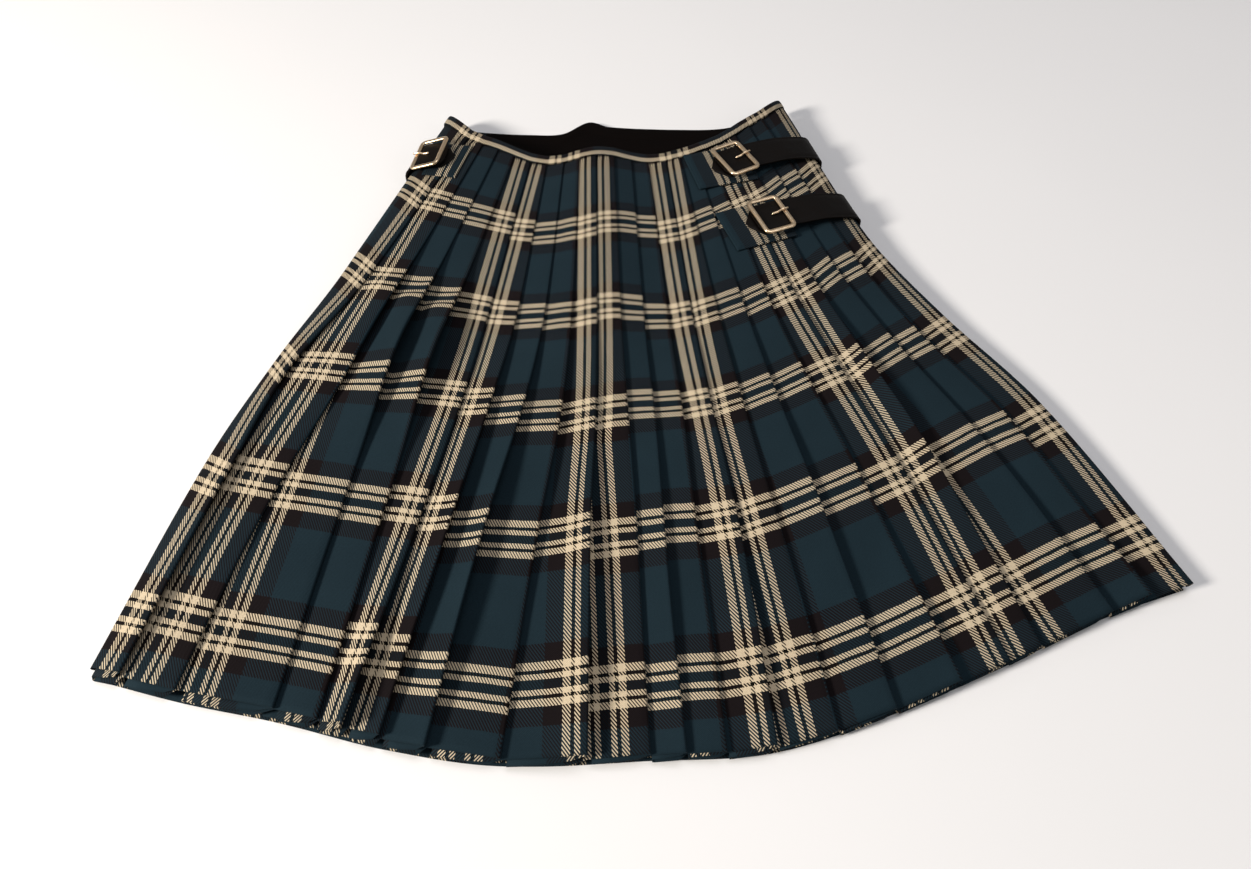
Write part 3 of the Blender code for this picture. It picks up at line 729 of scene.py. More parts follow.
@dataclass
class PleatedBack:
    """One length of tartan folded into knife pleats, sewn flat at the top and free below."""

    form: KiltForm
    cloth: float = 0.9           # thickness
    seam: float = 9.5            # how far below the top edge the pleats come out of the waistband
    rows: int = 122
    sewn_pitch: float = 1.0      # from layer to layer where the pleats are sewn down
    fell: tuple[float, float] = (0.31, 0.46)     # drops between which the sewn part ends
    least_width: float = 4.0     # narrowest width that a turn is worked out for, mm
    hem_fade: tuple[float, float] = (0.86, 1.0)  # drops over which the hem's unevenness grows
    side_parts: tuple[float, ...] = (0.0, 0.25, 0.5, 0.75)
    swell_seed: int = 100        # where the numbers of each random draw start
    sway_seed: int = 7
    reach_seed: int = 500
    jog_seed: int = 900
    first_fold_place: float = 17.0   # place in the sett where the first fold falls, mm
    sett_step: float = 27.5      # how far each fold moves on through the sett, mm
    # least and most that each layer reaches past the plan hem, in the order of Layer, mm
    reaches: tuple[tuple[float, float], ...] = ((-0.7, 0.7), (-0.5, 1.0), (3.2, 4.6), (4.0, 5.6))
    left_reach: float = 1.5      # how much further the hidden layers reach on the left, and
    right_reach: float = -2.5    # on the right, mm
    hidden_stripe: float = 15.6  # the stripe above this place down the cloth is cut off inside the waistband
    lifts: tuple[Lift, ...] = (
        Lift(1, 0.80, 0.25, 5.0), Lift(2, 0.42, 0.12, 7.0), Lift(3, 0.46, 0.12, 15.0),
        Lift(4, 0.46, 0.12, 15.0), Lift(5, 1.00, 0.16, 13.0), Lift(6, 0.74, 0.25, 9.0),
        Lift(7, 0.76, 0.25, 10.0), Lift(8, 0.60, 0.20, 3.0), Lift(9, 0.85, 0.25, 10.0),
        Lift(11, 0.80, 0.20, 3.0), Lift(13, 0.90, 0.20, 3.0), Lift(15, 0.75, 0.20, 3.0),
        Lift(16, 0.95, 0.15, 3.5), Lift(18, 0.62, 0.16, 8.0), Lift(19, 0.90, 0.20, 3.0),
        Lift(20, 1.00, 0.10, 5.0))
    puffs: tuple[Puff, ...] = (
        Puff(2, 0.37, 0.025, 0.16, 3.0), Puff(3, 0.385, 0.02, 0.16, 5.0), Puff(4, 0.39, 0.02, 0.14, 5.0))
    # drops of the waist, of the five cross stripes and of the hem
    drift_drops: tuple[float, ...] = (0.0, 0.185, 0.369, 0.554, 0.739, 0.924, 1.0)
    # how far each of the five cross stripes sits above even spacing, pleat by pleat, mm
    drifts: tuple[tuple[float, ...], ...] = (
        (4, 8, 8.5, 3, -3), (8, 10, 20, 15.5, 4.5), (8, 8.5, 17, 11.5, 2), (5, 4, 17, 11.5, 2.5),
        (5.5, 5, 20.5, 17, 10), (0, 5, 15, 14.5, 7.5), (-2, 4, 10.5, 6.5, 1.5), (0, 4, 8, 4, -1),
        (0.5, 5.5, 8.5, 8.5, 4), (5.5, 12.5, 11, 5.5, 2), (8, 12.5, 19, 10.5, 0), (5.5, 4, 21.5, 15.5, 5),
        (0, 6.5, 21.5, 16.5, 7), (0.5, 4, 20, 14.5, 6.5), (5, 6, 19.5, 17.5, 7), (2, 1, 19, 15.5, 4.5),
        (0, -2.5, 12, 9, 2), (0, -5, 10.5, 12.5, 5), (0, -9, 4, 7.5, 1.5), (-3, -14, 0, 10, 3.5),
        (-6, -18, -7, 0.5, -0.5))

    def pitch_at(self, drop: np.ndarray) -> np.ndarray:
        """Distance from layer to layer at each drop."""
        return self.sewn_pitch + (self.form.pitch - self.sewn_pitch) * ramp(*self.fell, drop)

    def lift_at(self, pleat: int, drop: np.ndarray) -> np.ndarray:
        """How far a pleat's fold edge stands up at each drop."""
        return sum((row.height * bell(row.drop, row.spread, drop) for row in self.lifts if row.fold == pleat),
                   np.zeros_like(drop))

    def swell(self, pleat: int, part: np.ndarray, drop: np.ndarray) -> np.ndarray:
        """How far a pleat's face stands up between its two edges.

        Args:
            pleat: Number of the pleat, from 1.
            part: Place across its face, from 0 to 1.
            drop: Drops.

        Returns:
            Heights in millimetres.
        """
        rng = np.random.default_rng(self.swell_seed + pleat)
        full = rng.uniform(0.3, 1.0) * ramp(*self.fell, drop)
        full = full * (0.75 + 0.25 * np.sin(drop * 9 + rng.uniform(0, 6)))
        for row in self.puffs:
            if row.pleat == pleat:
                side = np.where(drop < row.drop, row.head, row.tail)
                full = full + row.height * np.exp(-((drop - row.drop) / side) ** 2)
        full = full + 0.18 * (1 - ramp(*self.fell, drop))
        return full * np.sin(np.pi * np.clip(part, 0, 1))

    def waves(self, fold: np.ndarray, drop: np.ndarray) -> np.ndarray:
        """Slight unevenness that every layer shares."""
        side = np.clip(fold * (self.form.pleats - fold) / 12, 0, 1)
        return side * (0.55 * np.sin(fold * 0.83 + drop * 4.1 + 0.6) * np.sin(drop * 11.0 + fold * 0.31)
                       + 0.30 * np.sin(fold * 1.9 - drop * 7.3) * ramp(0.3, 0.6, drop))

    def face_height(self, pleat: int, fold: np.ndarray, drop: np.ndarray) -> np.ndarray:
        """Height of a pleat's face, and of the part of it that runs on under its neighbour.

        Args:
            pleat: Number of the pleat, from 1.
            fold: Fold numbers.
            drop: Drops.

        Returns:
            Heights in millimetres.
        """
        part = fold - (pleat - 1)
        tooth = 2 * self.pitch_at(drop)
        raised = self.lift_at(pleat, drop) * np.maximum(part, 0.0) ** 2
        within = np.clip(fold, 0.0, self.form.pleats)
        return (self.form.base(within, drop) + 2 * self.form.pitch - tooth * (1 - part) + raised
                + self.swell(pleat, part, drop) + self.waves(within, drop))

    def middle_height(self, pleat: int, fold: np.ndarray, drop: np.ndarray) -> np.ndarray:
        """Height of the layer that runs back under a pleat's face.

        Args:
            pleat: Number of the pleat, from 1.
            fold: Fold numbers.
            drop: Drops.

        Returns:
            Heights in millimetres.
        """
        part = fold - (pleat - 1)
        back = np.clip((fold - pleat + self.form.tuck) / self.form.tuck, 0, 1)
        raise_face = self.lift_at(pleat, drop) * np.maximum(part, 0.0) ** 2
        raise_back = 0.9 * self.lift_at(pleat, drop) * back ** 2
        return self.face_height(pleat, fold, drop) - self.pitch_at(drop) - raise_face + raise_back

    def fold_sway(self, pleat: float, drop: np.ndarray) -> np.ndarray:
        """Slight sideways wander of a fold line below the sewn part, in millimetres.

        Args:
            pleat: Number of the fold line.
            drop: Drops.

        Returns:
            The wander at each drop.
        """
        if pleat <= 0 or pleat >= self.form.pleats:
            return np.zeros_like(drop)
        rng = np.random.default_rng(self.sway_seed + int(pleat))
        return (ramp(0.3, 0.6, drop) * rng.uniform(0.5, 1.1)
                * np.sin(drop * rng.uniform(7, 13) + rng.uniform(0, math.tau)))

    def hem_reach(self, pleat: int, layer: Layer) -> float:
        """How far a stretch of cloth reaches past the plan hem, in millimetres.

        Args:
            pleat: Number of the pleat, from 1.
            layer: Which stretch of it.

        Returns:
            The reach.
        """
        rng = np.random.default_rng(self.reach_seed + pleat * len(Layer) + layer.value)
        more = self.left_reach * ramp(9.0, 5.0, pleat) * ramp(0.0, 2.0, pleat)
        more = more + self.right_reach * ramp(8.0, 11.0, pleat)
        return rng.uniform(*self.reaches[layer.value]) + (0.0 if layer is Layer.FACE else more)

    def column(self, pleat: int, layer: Layer, at: float, drop: np.ndarray) -> tuple[np.ndarray, np.ndarray]:
        """One line of points down the cloth.

        Args:
            pleat: Number of the pleat, from 1.
            layer: Which stretch of it.
            at: On a face or middle the fold number, and on a turn the angle from 0 to 180.
            drop: The rows' drops.

        Returns:
            Points in millimetres, and their place across the cloth and down it.
        """
        form = self.form
        half = self.pitch_at(drop) / 2
        own_width = np.maximum(form.width(np.full_like(drop, float(pleat)), drop), self.least_width)
        inner = pleat - form.tuck
        if layer is Layer.FACE:
            fold = np.full_like(drop, at)
            height = self.face_height(pleat, fold, drop)
        elif layer is Layer.MIDDLE:
            fold = np.full_like(drop, at)
            height = self.middle_height(pleat, fold, drop)
        elif layer is Layer.TURN:
            angle = math.radians(at)
            fold = pleat - half * (1 - math.sin(angle)) / own_width
            top = self.face_height(pleat, fold, drop)
            low = self.middle_height(pleat, fold, drop)
            height = (top + low) / 2 + (top - low) / 2 * math.cos(angle)
        else:
            angle = math.radians(at)
            fold = inner - half * math.sin(angle) / own_width
            top = self.middle_height(pleat, fold, drop)
            low = self.face_height(pleat + 1, fold, drop)
            height = (top + low) / 2 + (top - low) / 2 * math.cos(angle)
        x, y = form.plan(np.clip(fold, 0, form.pleats), drop)
        whole = math.floor(float(np.mean(fold)))
        near = np.clip(fold - whole, 0, 1)
        x = x + self.fold_sway(whole, drop) * (1 - near) + self.fold_sway(whole + 1, drop) * near
        edge_x, edge_y = form.plan(np.full_like(drop, float(pleat)), drop)
        away = np.hypot(edge_x - x, edge_y - y)
        across = self.fold_place(pleat, drop)
        across = across - away if layer is Layer.FACE or at < 90 and layer is Layer.TURN else across + away
        reach = self.reach_at(pleat, layer, at) * ramp(*self.hem_fade, drop)
        jog = np.random.default_rng(self.jog_seed + pleat).uniform(-0.8, 0.8)
        down = np.maximum(drop * form.length + reach + jog + self.band_drift(pleat, drop), self.hidden_stripe)
        return np.stack([x, y - reach, height], axis=-1), np.stack([across, down], axis=-1)

    def fold_place(self, pleat: int, drop: np.ndarray) -> np.ndarray:
        """Place in the sett of a fold line.

        A pleat that begins in the middle of the stripes carries on with them, and is tapered towards the
        waist from its far side.

        Args:
            pleat: Number of the pleat, from 1.
            drop: Drops.

        Returns:
            Places in millimetres.
        """
        place = np.full_like(drop, self.first_fold_place + self.sett_step * (pleat - 1))
        if pleat % 4 != 2:
            return place
        x0, y0 = self.form.plan(np.full_like(drop, pleat - 1.0), drop)
        x1, y1 = self.form.plan(np.full_like(drop, float(pleat)), drop)
        return place - np.maximum(self.sett_step - np.hypot(x1 - x0, y1 - y0), 0.0)

    def band_drift(self, pleat: int, drop: np.ndarray) -> np.ndarray:
        """How far a pleat's cross stripes sit above even spacing, in millimetres."""
        row = self.drifts[pleat - 1]
        return smooth(self.drift_drops, (0.0, *row, row[-1]), drop)

    def reach_at(self, pleat: int, layer: Layer, at: float) -> float:
        """Hem reach of one column, which changes evenly along the hidden layers.

        Args:
            pleat: Number of the pleat, from 1.
            layer: Which stretch of it.
            at: Where on that stretch, as in column.

        Returns:
            The reach in millimetres.
        """
        near, far = self.hem_reach(pleat, Layer.FACE), self.hem_reach(pleat, Layer.MIDDLE)
        if layer is Layer.TURN:
            return near
        if layer is Layer.FACE:
            part, far = min(max(pleat - 1 - at, 0.0) / 0.2, 1.0), self.hem_reach(pleat, Layer.INNER)
        elif layer is Layer.MIDDLE:
            part = min((pleat - at) / 0.3, 1.0)
        else:
            part, near, far = at / 180, far, self.hem_reach(pleat + 1, Layer.INNER)
        return near * (1 - part) + far * part

    def side_columns(self, right: bool, drop: np.ndarray) -> list[tuple[np.ndarray, np.ndarray]]:
        """The rounded side, from the edge of the apron up to the first or last face.

        Args:
            right: Whether it is the right side.
            drop: Drops of the rows.

        Returns:
            Points and threads of each column, as column gives them.
        """
        form = self.form
        pleat = form.pleats if right else 1
        fold = np.full_like(drop, float(form.pleats if right else 0))
        sign = 1 if right else -1
        x, y = form.plan(fold, drop)
        edge_x, edge_y = form.plan(np.full_like(drop, float(pleat)), drop)
        top = self.face_height(pleat, fold - sign * NEAR_EDGE[0], drop)
        place = self.first_fold_place + self.sett_step * (pleat - 1) - np.hypot(edge_x - x, edge_y - y)
        columns = []
        for part in self.side_parts:
            height = form.side_low + self.cloth / 2 + (top - form.side_low) * part
            bulge = 1.6 * math.sin(math.pi * part) - 1.2 * (1 - part)
            away = (top - form.side_low) * (1 - part)
            across = place + sign * away
            columns.append((np.stack([x + sign * bulge, y, height], axis=-1),
                            np.stack([across, drop * form.length + self.band_drift(pleat, drop)], axis=-1)))
        return columns[::-1] if right else columns

    def build(self, tartan: bpy.types.Material) -> bpy.types.Object:
        """Folds the cloth and dresses it.

        Args:
            tartan: The cloth.

        Returns:
            The piece.
        """
        form = self.form
        drop = np.linspace(self.seam / form.length, 1.0, self.rows)
        columns = self.side_columns(False, drop)
        for pleat in range(1, form.pleats + 1):
            start = pleat - 1.0
            if pleat == 1:
                faces = [start + part for part in NEAR_EDGE + (0.4, 0.6, 0.8)]
            elif pleat == form.pleats:
                faces = [start + part for part in (0.05 - form.tuck, -0.2, 0, 0.15, 0.35, 0.55)]
                faces += [form.pleats - part for part in NEAR_EDGE[::-1]]
            else:
                faces = [start + part for part in
                         (0.05 - form.tuck, -0.2, 0, 0.12, 0.25, 0.38, 0.5, 0.62, 0.75, 0.88)]
            columns += [self.column(pleat, Layer.FACE, at, drop) for at in faces]
            if pleat == form.pleats:
                break
            columns += [self.column(pleat, Layer.TURN, at, drop) for at in (0, 45, 90, 135, 180)]
            columns += [self.column(pleat, Layer.MIDDLE, pleat - part, drop) for part in (0.2, 0.6)]
            columns += [self.column(pleat, Layer.INNER, at, drop) for at in (20, 160)]
        columns += self.side_columns(True, drop)
        points = np.stack([place for place, _ in columns], axis=1)
        weave = np.stack([threads for _, threads in columns], axis=1)
        obj = table_mesh("pleats", points, weave)
        thicken(obj, self.cloth)
        declare(obj, tartan, Slot.TARTAN, "pleated_back")
        return obj


# ---------------------------------------------------------------- aprons, lining and waistband
@dataclass
class Front:
    """The flat aprons that the kilt lies on, and the black lining inside the open waist."""

    form: KiltForm
    cloth: float = 0.9           # thickness of the tartan
    cotton: float = 0.6          # thickness of the lining
    columns: int = 97
    rows: int = 61
    seam: float = 12.3           # how far below the top edge the aprons come out of the waistband
    apron_levels: tuple[float, float] = (0.45, 1.45)    # height of each apron's middle surface
    under_start: float = 5 / 32  # where the under apron starts, across from the left side
    wave: float = 0.05           # unevenness of the under apron
    left_reach: float = 5.0      # how much further the aprons reach down on the left
    sett_shift: float = 35.0     # place in the sett at the middle of the aprons
    lining_level: float = 3.7    # height of the lining, before its wrinkles
    lining_sides: tuple[float, float] = (0.11, 0.9)     # where the lining starts and ends across
    lining_top: float = 2.4      # how far below the top edge it starts
    lining_depth: float = 170.0
    lining_rise: float = 1.35    # how much higher it lies where the waistband is under it

    def sheet(self, name: str, level: Callable[[np.ndarray, np.ndarray], np.ndarray],
              sides: tuple[float, float], ends: tuple[float, float], hem_lift: float) -> bpy.types.Object:
        """One flat sheet of the front.

        Args:
            name: The piece's name.
            level: Height at each place across and drop.
            sides: Where it starts and ends across.
            ends: How far down it starts and ends, in millimetres.
            hem_lift: How far its hem stays above the plan hem.

        Returns:
            The sheet, before it gets its wall.
        """
        form = self.form
        across, down = np.meshgrid(np.linspace(*sides, self.columns), np.linspace(*ends, self.rows))
        drop = down / form.length
        x, y = form.front_place(across, drop)
        left = self.left_reach * ramp(-60.0, -180.0, x)
        points = np.stack([x, y + (hem_lift - left) * drop, level(across, drop)], axis=-1)
        weave = np.stack([x - x.mean(axis=0).mean() + self.sett_shift, down], axis=-1)
        return table_mesh(name, points, weave)

    def build(self, tartan: bpy.types.Material, lining: bpy.types.Material) -> list[bpy.types.Object]:
        """Makes the two aprons and the lining.

        Args:
            tartan: The cloth.
            lining: The black cotton.

        Returns:
            The three pieces.
        """
        low, high = self.apron_levels
        ends = (self.seam, self.form.length)
        over = self.sheet("outer_apron", lambda a, d: np.full_like(a, low), (0.0, 1.0), ends, -1.0)
        under = self.sheet("inner_apron", lambda a, d: high + self.wave * np.sin(a * 17 + d * 5),
                           (self.under_start, 1.0), ends, 1.0)
        inside = self.sheet("waist_lining", self.lining_height, self.lining_sides,
                            (self.lining_top, self.lining_depth), 0.0)
        for obj, node, material, slot in ((over, "over_apron", tartan, Slot.TARTAN),
                                          (under, "under_apron", tartan, Slot.TARTAN),
                                          (inside, "lining_front", lining, Slot.LINING)):
            thicken(obj, self.cloth if material is tartan else self.cotton)
            declare(obj, material, slot, node)
        return [over, under, inside]

    def lining_height(self, across: np.ndarray, drop: np.ndarray) -> np.ndarray:
        """Soft wrinkles that run down from the waist.

        Args:
            across: 0 at the left side to 1 at the right.
            drop: 0 at the waist to 1 at the hem.

        Returns:
            Heights in millimetres.
        """
        down = drop * self.form.length
        over_band = self.lining_rise * (1 - ramp(self.seam, self.seam + 3.0, down))
        wrinkle = np.sin(across * 41 + drop * 9) * np.sin(across * 13 + 1.0)
        wrinkle = wrinkle + 0.6 * np.sin(across * 23 - drop * 30)
        return self.lining_level + over_band + 0.55 + 0.3 * (wrinkle + 1) * ramp(12, 40, down)


@dataclass
class Waistband:
    """A strip of tartan folded over the top edge, all round."""

    form: KiltForm
    cloth: float = 0.9           # thickness
    seam: float = 11.0           # how far down the outside of the back the band reaches
    roll: float = 2.4            # radius of the roll at the top edge of the back
    columns: int = 241
    least: float = 5.8           # lowest the back band's inner side may hang
    stripe_start: float = -75.5  # X where a repeat of the sett starts along the back band
    front_start: float = -101.6  # X where one starts along the front band
    front_repeat: float = 90.0   # one repeat along the front band, closer than the cloth's own
    back_down: float = 23.9      # place in the repeat at the back band's outer seam
    front_down: float = 25.0     # and at the front band's seam underneath
    # up the kilt and height of the front band, from its seam underneath to its seam inside, mm
    front_profile: tuple[tuple[float, float], ...] = (
        (-12.0, 0.45), (-6.0, 0.45), (-2.2, 0.45), (-1.0, 0.8), (-0.5, 1.6), (-0.45, 2.5), (-0.6, 3.4),
        (-1.2, 4.2), (-2.2, 4.6), (-6.0, 4.6), (-11.0, 4.5))

    def top_line(self, fold: np.ndarray, out: float) -> tuple[np.ndarray, np.ndarray, np.ndarray]:
        """Plan place and height of a line along the top of the back.

        Args:
            fold: Fold numbers.
            out: How far below the edge, in millimetres.

        Returns:
            X, Y and height in millimetres.
        """
        drop = np.full_like(fold, out / self.form.length)
        x, y = self.form.plan(fold, drop)
        return x, y, self.form.base(fold, np.zeros_like(fold)) + self.form.face_top

    def back(self, tartan: bpy.types.Material) -> bpy.types.Object:
        """The band on top of the pleats: down to its seam outside, and rolled over to the inside.

        Args:
            tartan: The cloth.

        Returns:
            The piece.
        """
        form = self.form
        ends = np.array((0.0, *NEAR_EDGE))
        middle = np.linspace(0.36, form.pleats - 0.36, self.columns)
        fold = np.concatenate([ends, middle, form.pleats - ends[::-1]])
        x0, y0, top = self.top_line(fold, 0.0)
        x1, y1, _ = self.top_line(fold, self.seam)
        length = np.concatenate([[0], np.cumsum(np.hypot(np.diff(x0), np.diff(y0)))])
        start = np.interp(self.stripe_start, x0, length)
        way_x, way_y = (x1 - x0) / self.seam, (y1 - y0) / self.seam
        ripple = 0.25 * np.sin(length / 9.0) + 0.2 * np.sin(length / 23.0)
        roll = self.roll
        profile = [(self.seam, -0.9), (self.seam - 0.5, 0.35), (self.seam - 2.0, 0.62), (5.0, 0.7),
                   (roll - 2, 0.5)]
        for angle in np.radians(range(20, 181, 20)):
            profile.append((roll - 2 - roll * math.sin(angle), 0.5 - roll * (1 - math.cos(angle))))
        profile += [(roll + 4.0, 0.4 - 2 * roll), (9.0, 0.3 - 2 * roll)]
        rows, threads = [], []
        for (along, lift), spent in zip(profile, run_of(profile)):
            z = np.maximum(top + lift + ripple * (0.3 if lift > 0 else 1.0), self.least)
            rows.append(np.stack([x0 + way_x * along, y0 + way_y * along, z], axis=-1))
            down = np.full_like(length, self.back_down + spent - WEFT_START)
            threads.append(np.stack([length - start, down], axis=-1))
        points, weave = np.stack(rows)[::-1], np.stack(threads)[::-1]
        obj = table_mesh("band_back", points, weave)
        thicken(obj, self.cloth)
        declare(obj, tartan, Slot.TARTAN, "waistband_back")
        return obj

    def front(self, tartan: bpy.types.Material) -> bpy.types.Object:
        """The band on top of the aprons: flat underneath, rounded over its top edge.

        Args:
            tartan: The cloth.

        Returns:
            The piece.
        """
        across = np.linspace(0, 1, self.columns)
        x, y = self.form.front_place(across, np.zeros_like(across))
        rows, threads = [], []
        sway = 0.5 * np.sin(x / 14.0) * np.sin(x / 41.0)
        for (along, z), spent in zip(self.front_profile, run_of(self.front_profile)):
            lift = sway * min(max(z - 1.0, 0.0), 1.0) * 0.6
            rows.append(np.stack([x, y + along, np.maximum(z + lift, 0.45)], axis=-1))
            down = np.full_like(x, self.front_down + spent - WEFT_START)
            threads.append(np.stack([(x - self.front_start) * SETT / self.front_repeat, down], axis=-1))
        obj = table_mesh("band_front", np.stack(rows), np.stack(threads))
        obj.data.flip_normals()
        thicken(obj, self.cloth)
        declare(obj, tartan, Slot.TARTAN, "waistband_front")
        return obj


# ---------------------------------------------------------------- fastenings
@dataclass
class Fastening:
    """One buckle with its cloth tab, leather chape, prong and the strap that passes through it."""

    form: KiltForm
    name: str
    x: float                     # the buckle's centre
    y: float
    turn: float                  # direction of the strap through the frame, degrees
    side: int                    # 1 on the right and -1 on the left
    tab_long: float
    tab_wide: float
    tab_shift: float             # how far the tab's middle lies outwards from the buckle's
    tab_turn: float
    flat_end: float              # where the strap leaves the frame's direction, outwards from the centre
    strap_turn: float = 0.0      # direction of the strap beyond the frame, degrees
    tilt: float = 0.0            # how far the frame leans over the side, degrees
    tab_sett: float = 25.0       # place in the sett at the tab's middle, mm
    tab_down: float = 54.5       # place down the cloth at the tab's middle, clear of the cross stripes, mm
    strap_width: float = 34.0
    leather: float = 2.0         # thickness of the strap
    frame_long: float = 45.0
    frame_short: float = 33.0
    bar: float = 4.4             # width of the frame's bar
    frame_thick: float = 2.8
    corner: float = 5.5          # outer radius of the frame's corners
    squareness: float = 0.75     # the lower, the squarer the bar's section
    gap: float = 0.3             # between metal and leather
    prong_radius: float = 1.2
    tab_level: float = 1.0       # how far each layer lies out from the pleats
    chape_level: float = 3.0
    strap_level: float = 5.3
    tab_margin: tuple[float, ...] = (0.0, 0.5, 1.4, 2.2, 2.9, 3.8)   # how far in the tab's outer rows lie
    tab_puff: float = 1.5        # how far the tab's middle stands above its edge
    stitch_in: float = 2.2       # how far in the stitch line runs
    stitch_depth: float = 0.55
    side_level: float = 4.0      # how far the strap's face stands off the side
    crease: float = 0.3          # depth of the line along each edge of the strap
    crease_place: float = 0.86   # how far out it runs, from 0 at the middle to 1
    chape_tip: tuple[float, float] = (24.0, 14.0)    # how far in the chape's point starts and ends
    strap_tip: tuple[float, float] = (17.0, 12.0)    # and the strap's
    # rows of the strap from the frame to the side, in shares of the way, and heights of those down the side
    shares: tuple[float, ...] = (0.1, 0.2, 0.3, 0.4, 0.5, 0.6, 0.7, 0.78, 0.85, 0.91, 0.95, 0.975, 0.99)
    side_heights: tuple[float, ...] = (11.0, 7.5, 4.0, 0.3)

    def directions(self, turn: float) -> tuple[np.ndarray, np.ndarray]:
        """Plan directions away from the pleats and up the kilt, for a turn in degrees.

        Args:
            turn: The turn.

        Returns:
            The two directions.
        """
        angle = math.radians(turn)
        outward = np.array((math.cos(angle), math.sin(angle)))
        return outward, np.array((-outward[1], outward[0])) * self.side

    def patch(self, turn: float, distance: np.ndarray, half: np.ndarray, across: np.ndarray,
              out: np.ndarray) -> tuple[np.ndarray, np.ndarray]:
        """Points of a patch that lies on the back.

        Args:
            turn: Its turn in degrees.
            distance: Distance of each row outwards from the buckle's centre.
            half: Half the patch's width at each row.
            across: Places across it, from -1 to 1.
            out: Distance out from the pleats, rows by columns.

        Returns:
            Points in plan millimetres, and places along the patch's own threads.
        """
        outward, upward = self.directions(turn)
        up = half[:, None] * across[None, :]
        along = np.broadcast_to(distance[:, None], up.shape)
        x = self.x + outward[0] * along + upward[0] * up
        y = self.y + outward[1] * along + upward[1] * up
        return self.form.on_back(x, y, out), np.stack([along, -up], axis=-1)

    def tab(self, tartan: bpy.types.Material) -> bpy.types.Object:
        """The cloth tab, turned in and stitched near its edges.

        Args:
            tartan: The cloth.

        Returns:
            The piece.
        """
        margin = np.array(self.tab_margin)

        def spread(size: float) -> np.ndarray:
            """Places along one side, close together near both edges, from 0 to size."""
            return np.concatenate([margin, np.linspace(5.5, size - 5.5, 16), size - margin[::-1]])

        long, wide = spread(self.tab_long), spread(self.tab_wide)
        near = np.minimum(np.minimum(long, self.tab_long - long)[:, None],
                          np.minimum(wide, self.tab_wide - wide))
        stitches = self.stitch_depth * bell(self.stitch_in, 0.6, near)
        puff = self.tab_puff * (1 - np.exp(-near / 0.8)) - stitches - 0.2
        puff += 0.15 * np.sin(long[:, None] / 4.0) * np.sin(wide / 5.0)
        across = wide / self.tab_wide * 2 - 1
        points, threads = self.patch(self.tab_turn, long - self.tab_long / 2 + self.tab_shift,
                                     np.full(len(long), self.tab_wide / 2), across, self.tab_level + puff)
        weave = threads * (self.side, 1.0) + (self.tab_sett, self.tab_down)
        obj = table_mesh("cloth_tab_" + self.name, points, weave)
        self.face_up(obj)
        thicken(obj, 0.8, -1.0)
        declare(obj, tartan, Slot.TARTAN, "tab_" + self.name)
        return obj

    def face_up(self, obj: bpy.types.Object) -> None:
        """Turns a sheet's faces so that they look away from the kilt."""
        if sum(polygon.normal.z * polygon.area for polygon in obj.data.polygons) < 0:
            obj.data.flip_normals()

    def chape(self, leather: bpy.types.Material) -> bpy.types.Object:
        """The leather that ties the frame to its tab, blunt-pointed towards the pleats.

        Args:
            leather: The leather.

        Returns:
            The piece.
        """
        half = self.strap_width / 2 - 1.0
        tip, neck = self.chape_tip
        distance = np.concatenate([np.linspace(-tip, -neck, 8), np.linspace(1.5 - neck, -4, 5)])
        taper = np.clip((distance + tip) / (tip - neck), 0, 1) ** 0.9
        widths = np.where(distance < -neck, 1.5 + (half - 1.5) * taper, half)
        across = np.array((-1, -0.9, -0.8, -0.5, 0, 0.5, 0.8, 0.9, 1.0))
        out = np.full((len(distance), len(across)), self.chape_level + 0.9)
        out[:, [1, 7]] -= 0.25
        points, threads = self.patch(self.turn, distance, widths, across, out)
        obj = table_mesh("leather_chape_" + self.name, points, threads)
        self.face_up(obj)
        thicken(obj, 1.3, -1.0)
        soften(obj, 0.4)
        return declare(obj, leather, Slot.LEATHER, "chape_" + self.name)

    def strap_points(self) -> tuple[np.ndarray, np.ndarray]:
        """Points of the strap's upper face, from its point to where it turns down at the side.

        Returns:
            Points, and places along the strap, both in millimetres.
        """
        half_across = np.array((0.5, 0.8, self.crease_place, 0.93, 1.0))
        across = np.concatenate([-half_across[::-1], [0.0], half_across])
        half = self.strap_width / 2
        level = self.strap_level + self.leather
        tip, neck = self.strap_tip
        distance = np.concatenate([np.linspace(-tip, -neck, 5),
                                   np.arange(2.0 - neck, self.flat_end + 0.1, 2.0)])
        taper = np.clip((distance + tip) / (tip - neck), 0, 1) ** 0.7
        widths = np.where(distance < -neck, 8.0 + (half - 8.0) * taper, half)
        groove = np.where(np.abs(np.abs(across) - self.crease_place) < 0.01, -self.crease, 0.0)
        out = level + np.broadcast_to(groove, (len(distance), len(across)))
        flat, threads = self.patch(self.turn, distance, widths, across, out)
        outward, upward = self.directions(self.turn)
        leave = np.array((self.x, self.y)) + outward * self.flat_end
        start = leave[:, None] + upward[:, None] * half * across
        end = self.reach_side(start, self.directions(self.strap_turn)[0])
        span = np.hypot(*(end - start))
        rows, marks = [flat], [threads]
        for share in self.shares:
            x, y = start + (end - start) * share
            hug = level - (level - self.side_level) * ramp(0.45, 0.95, share)
            rows.append(self.form.on_back(x, y, hug + groove)[None])
            marks.append(np.stack([self.flat_end + share * span, across * half], axis=-1)[None])
        rim = end[0] + self.side * self.side_level
        last = rows[-1][0]
        for part, fall in ((0.45, 0.10), (0.8, 0.32)):
            bend = np.stack([rim * part + last[:, 0] * (1 - part), end[1] * part + last[:, 1] * (1 - part),
                             last[:, 2] - (last[:, 2] - 12.0) * fall], axis=-1)
            rows.append(bend[None])
            marks.append(marks[-1] + (3.0, 0.0))
        for height in self.side_heights:
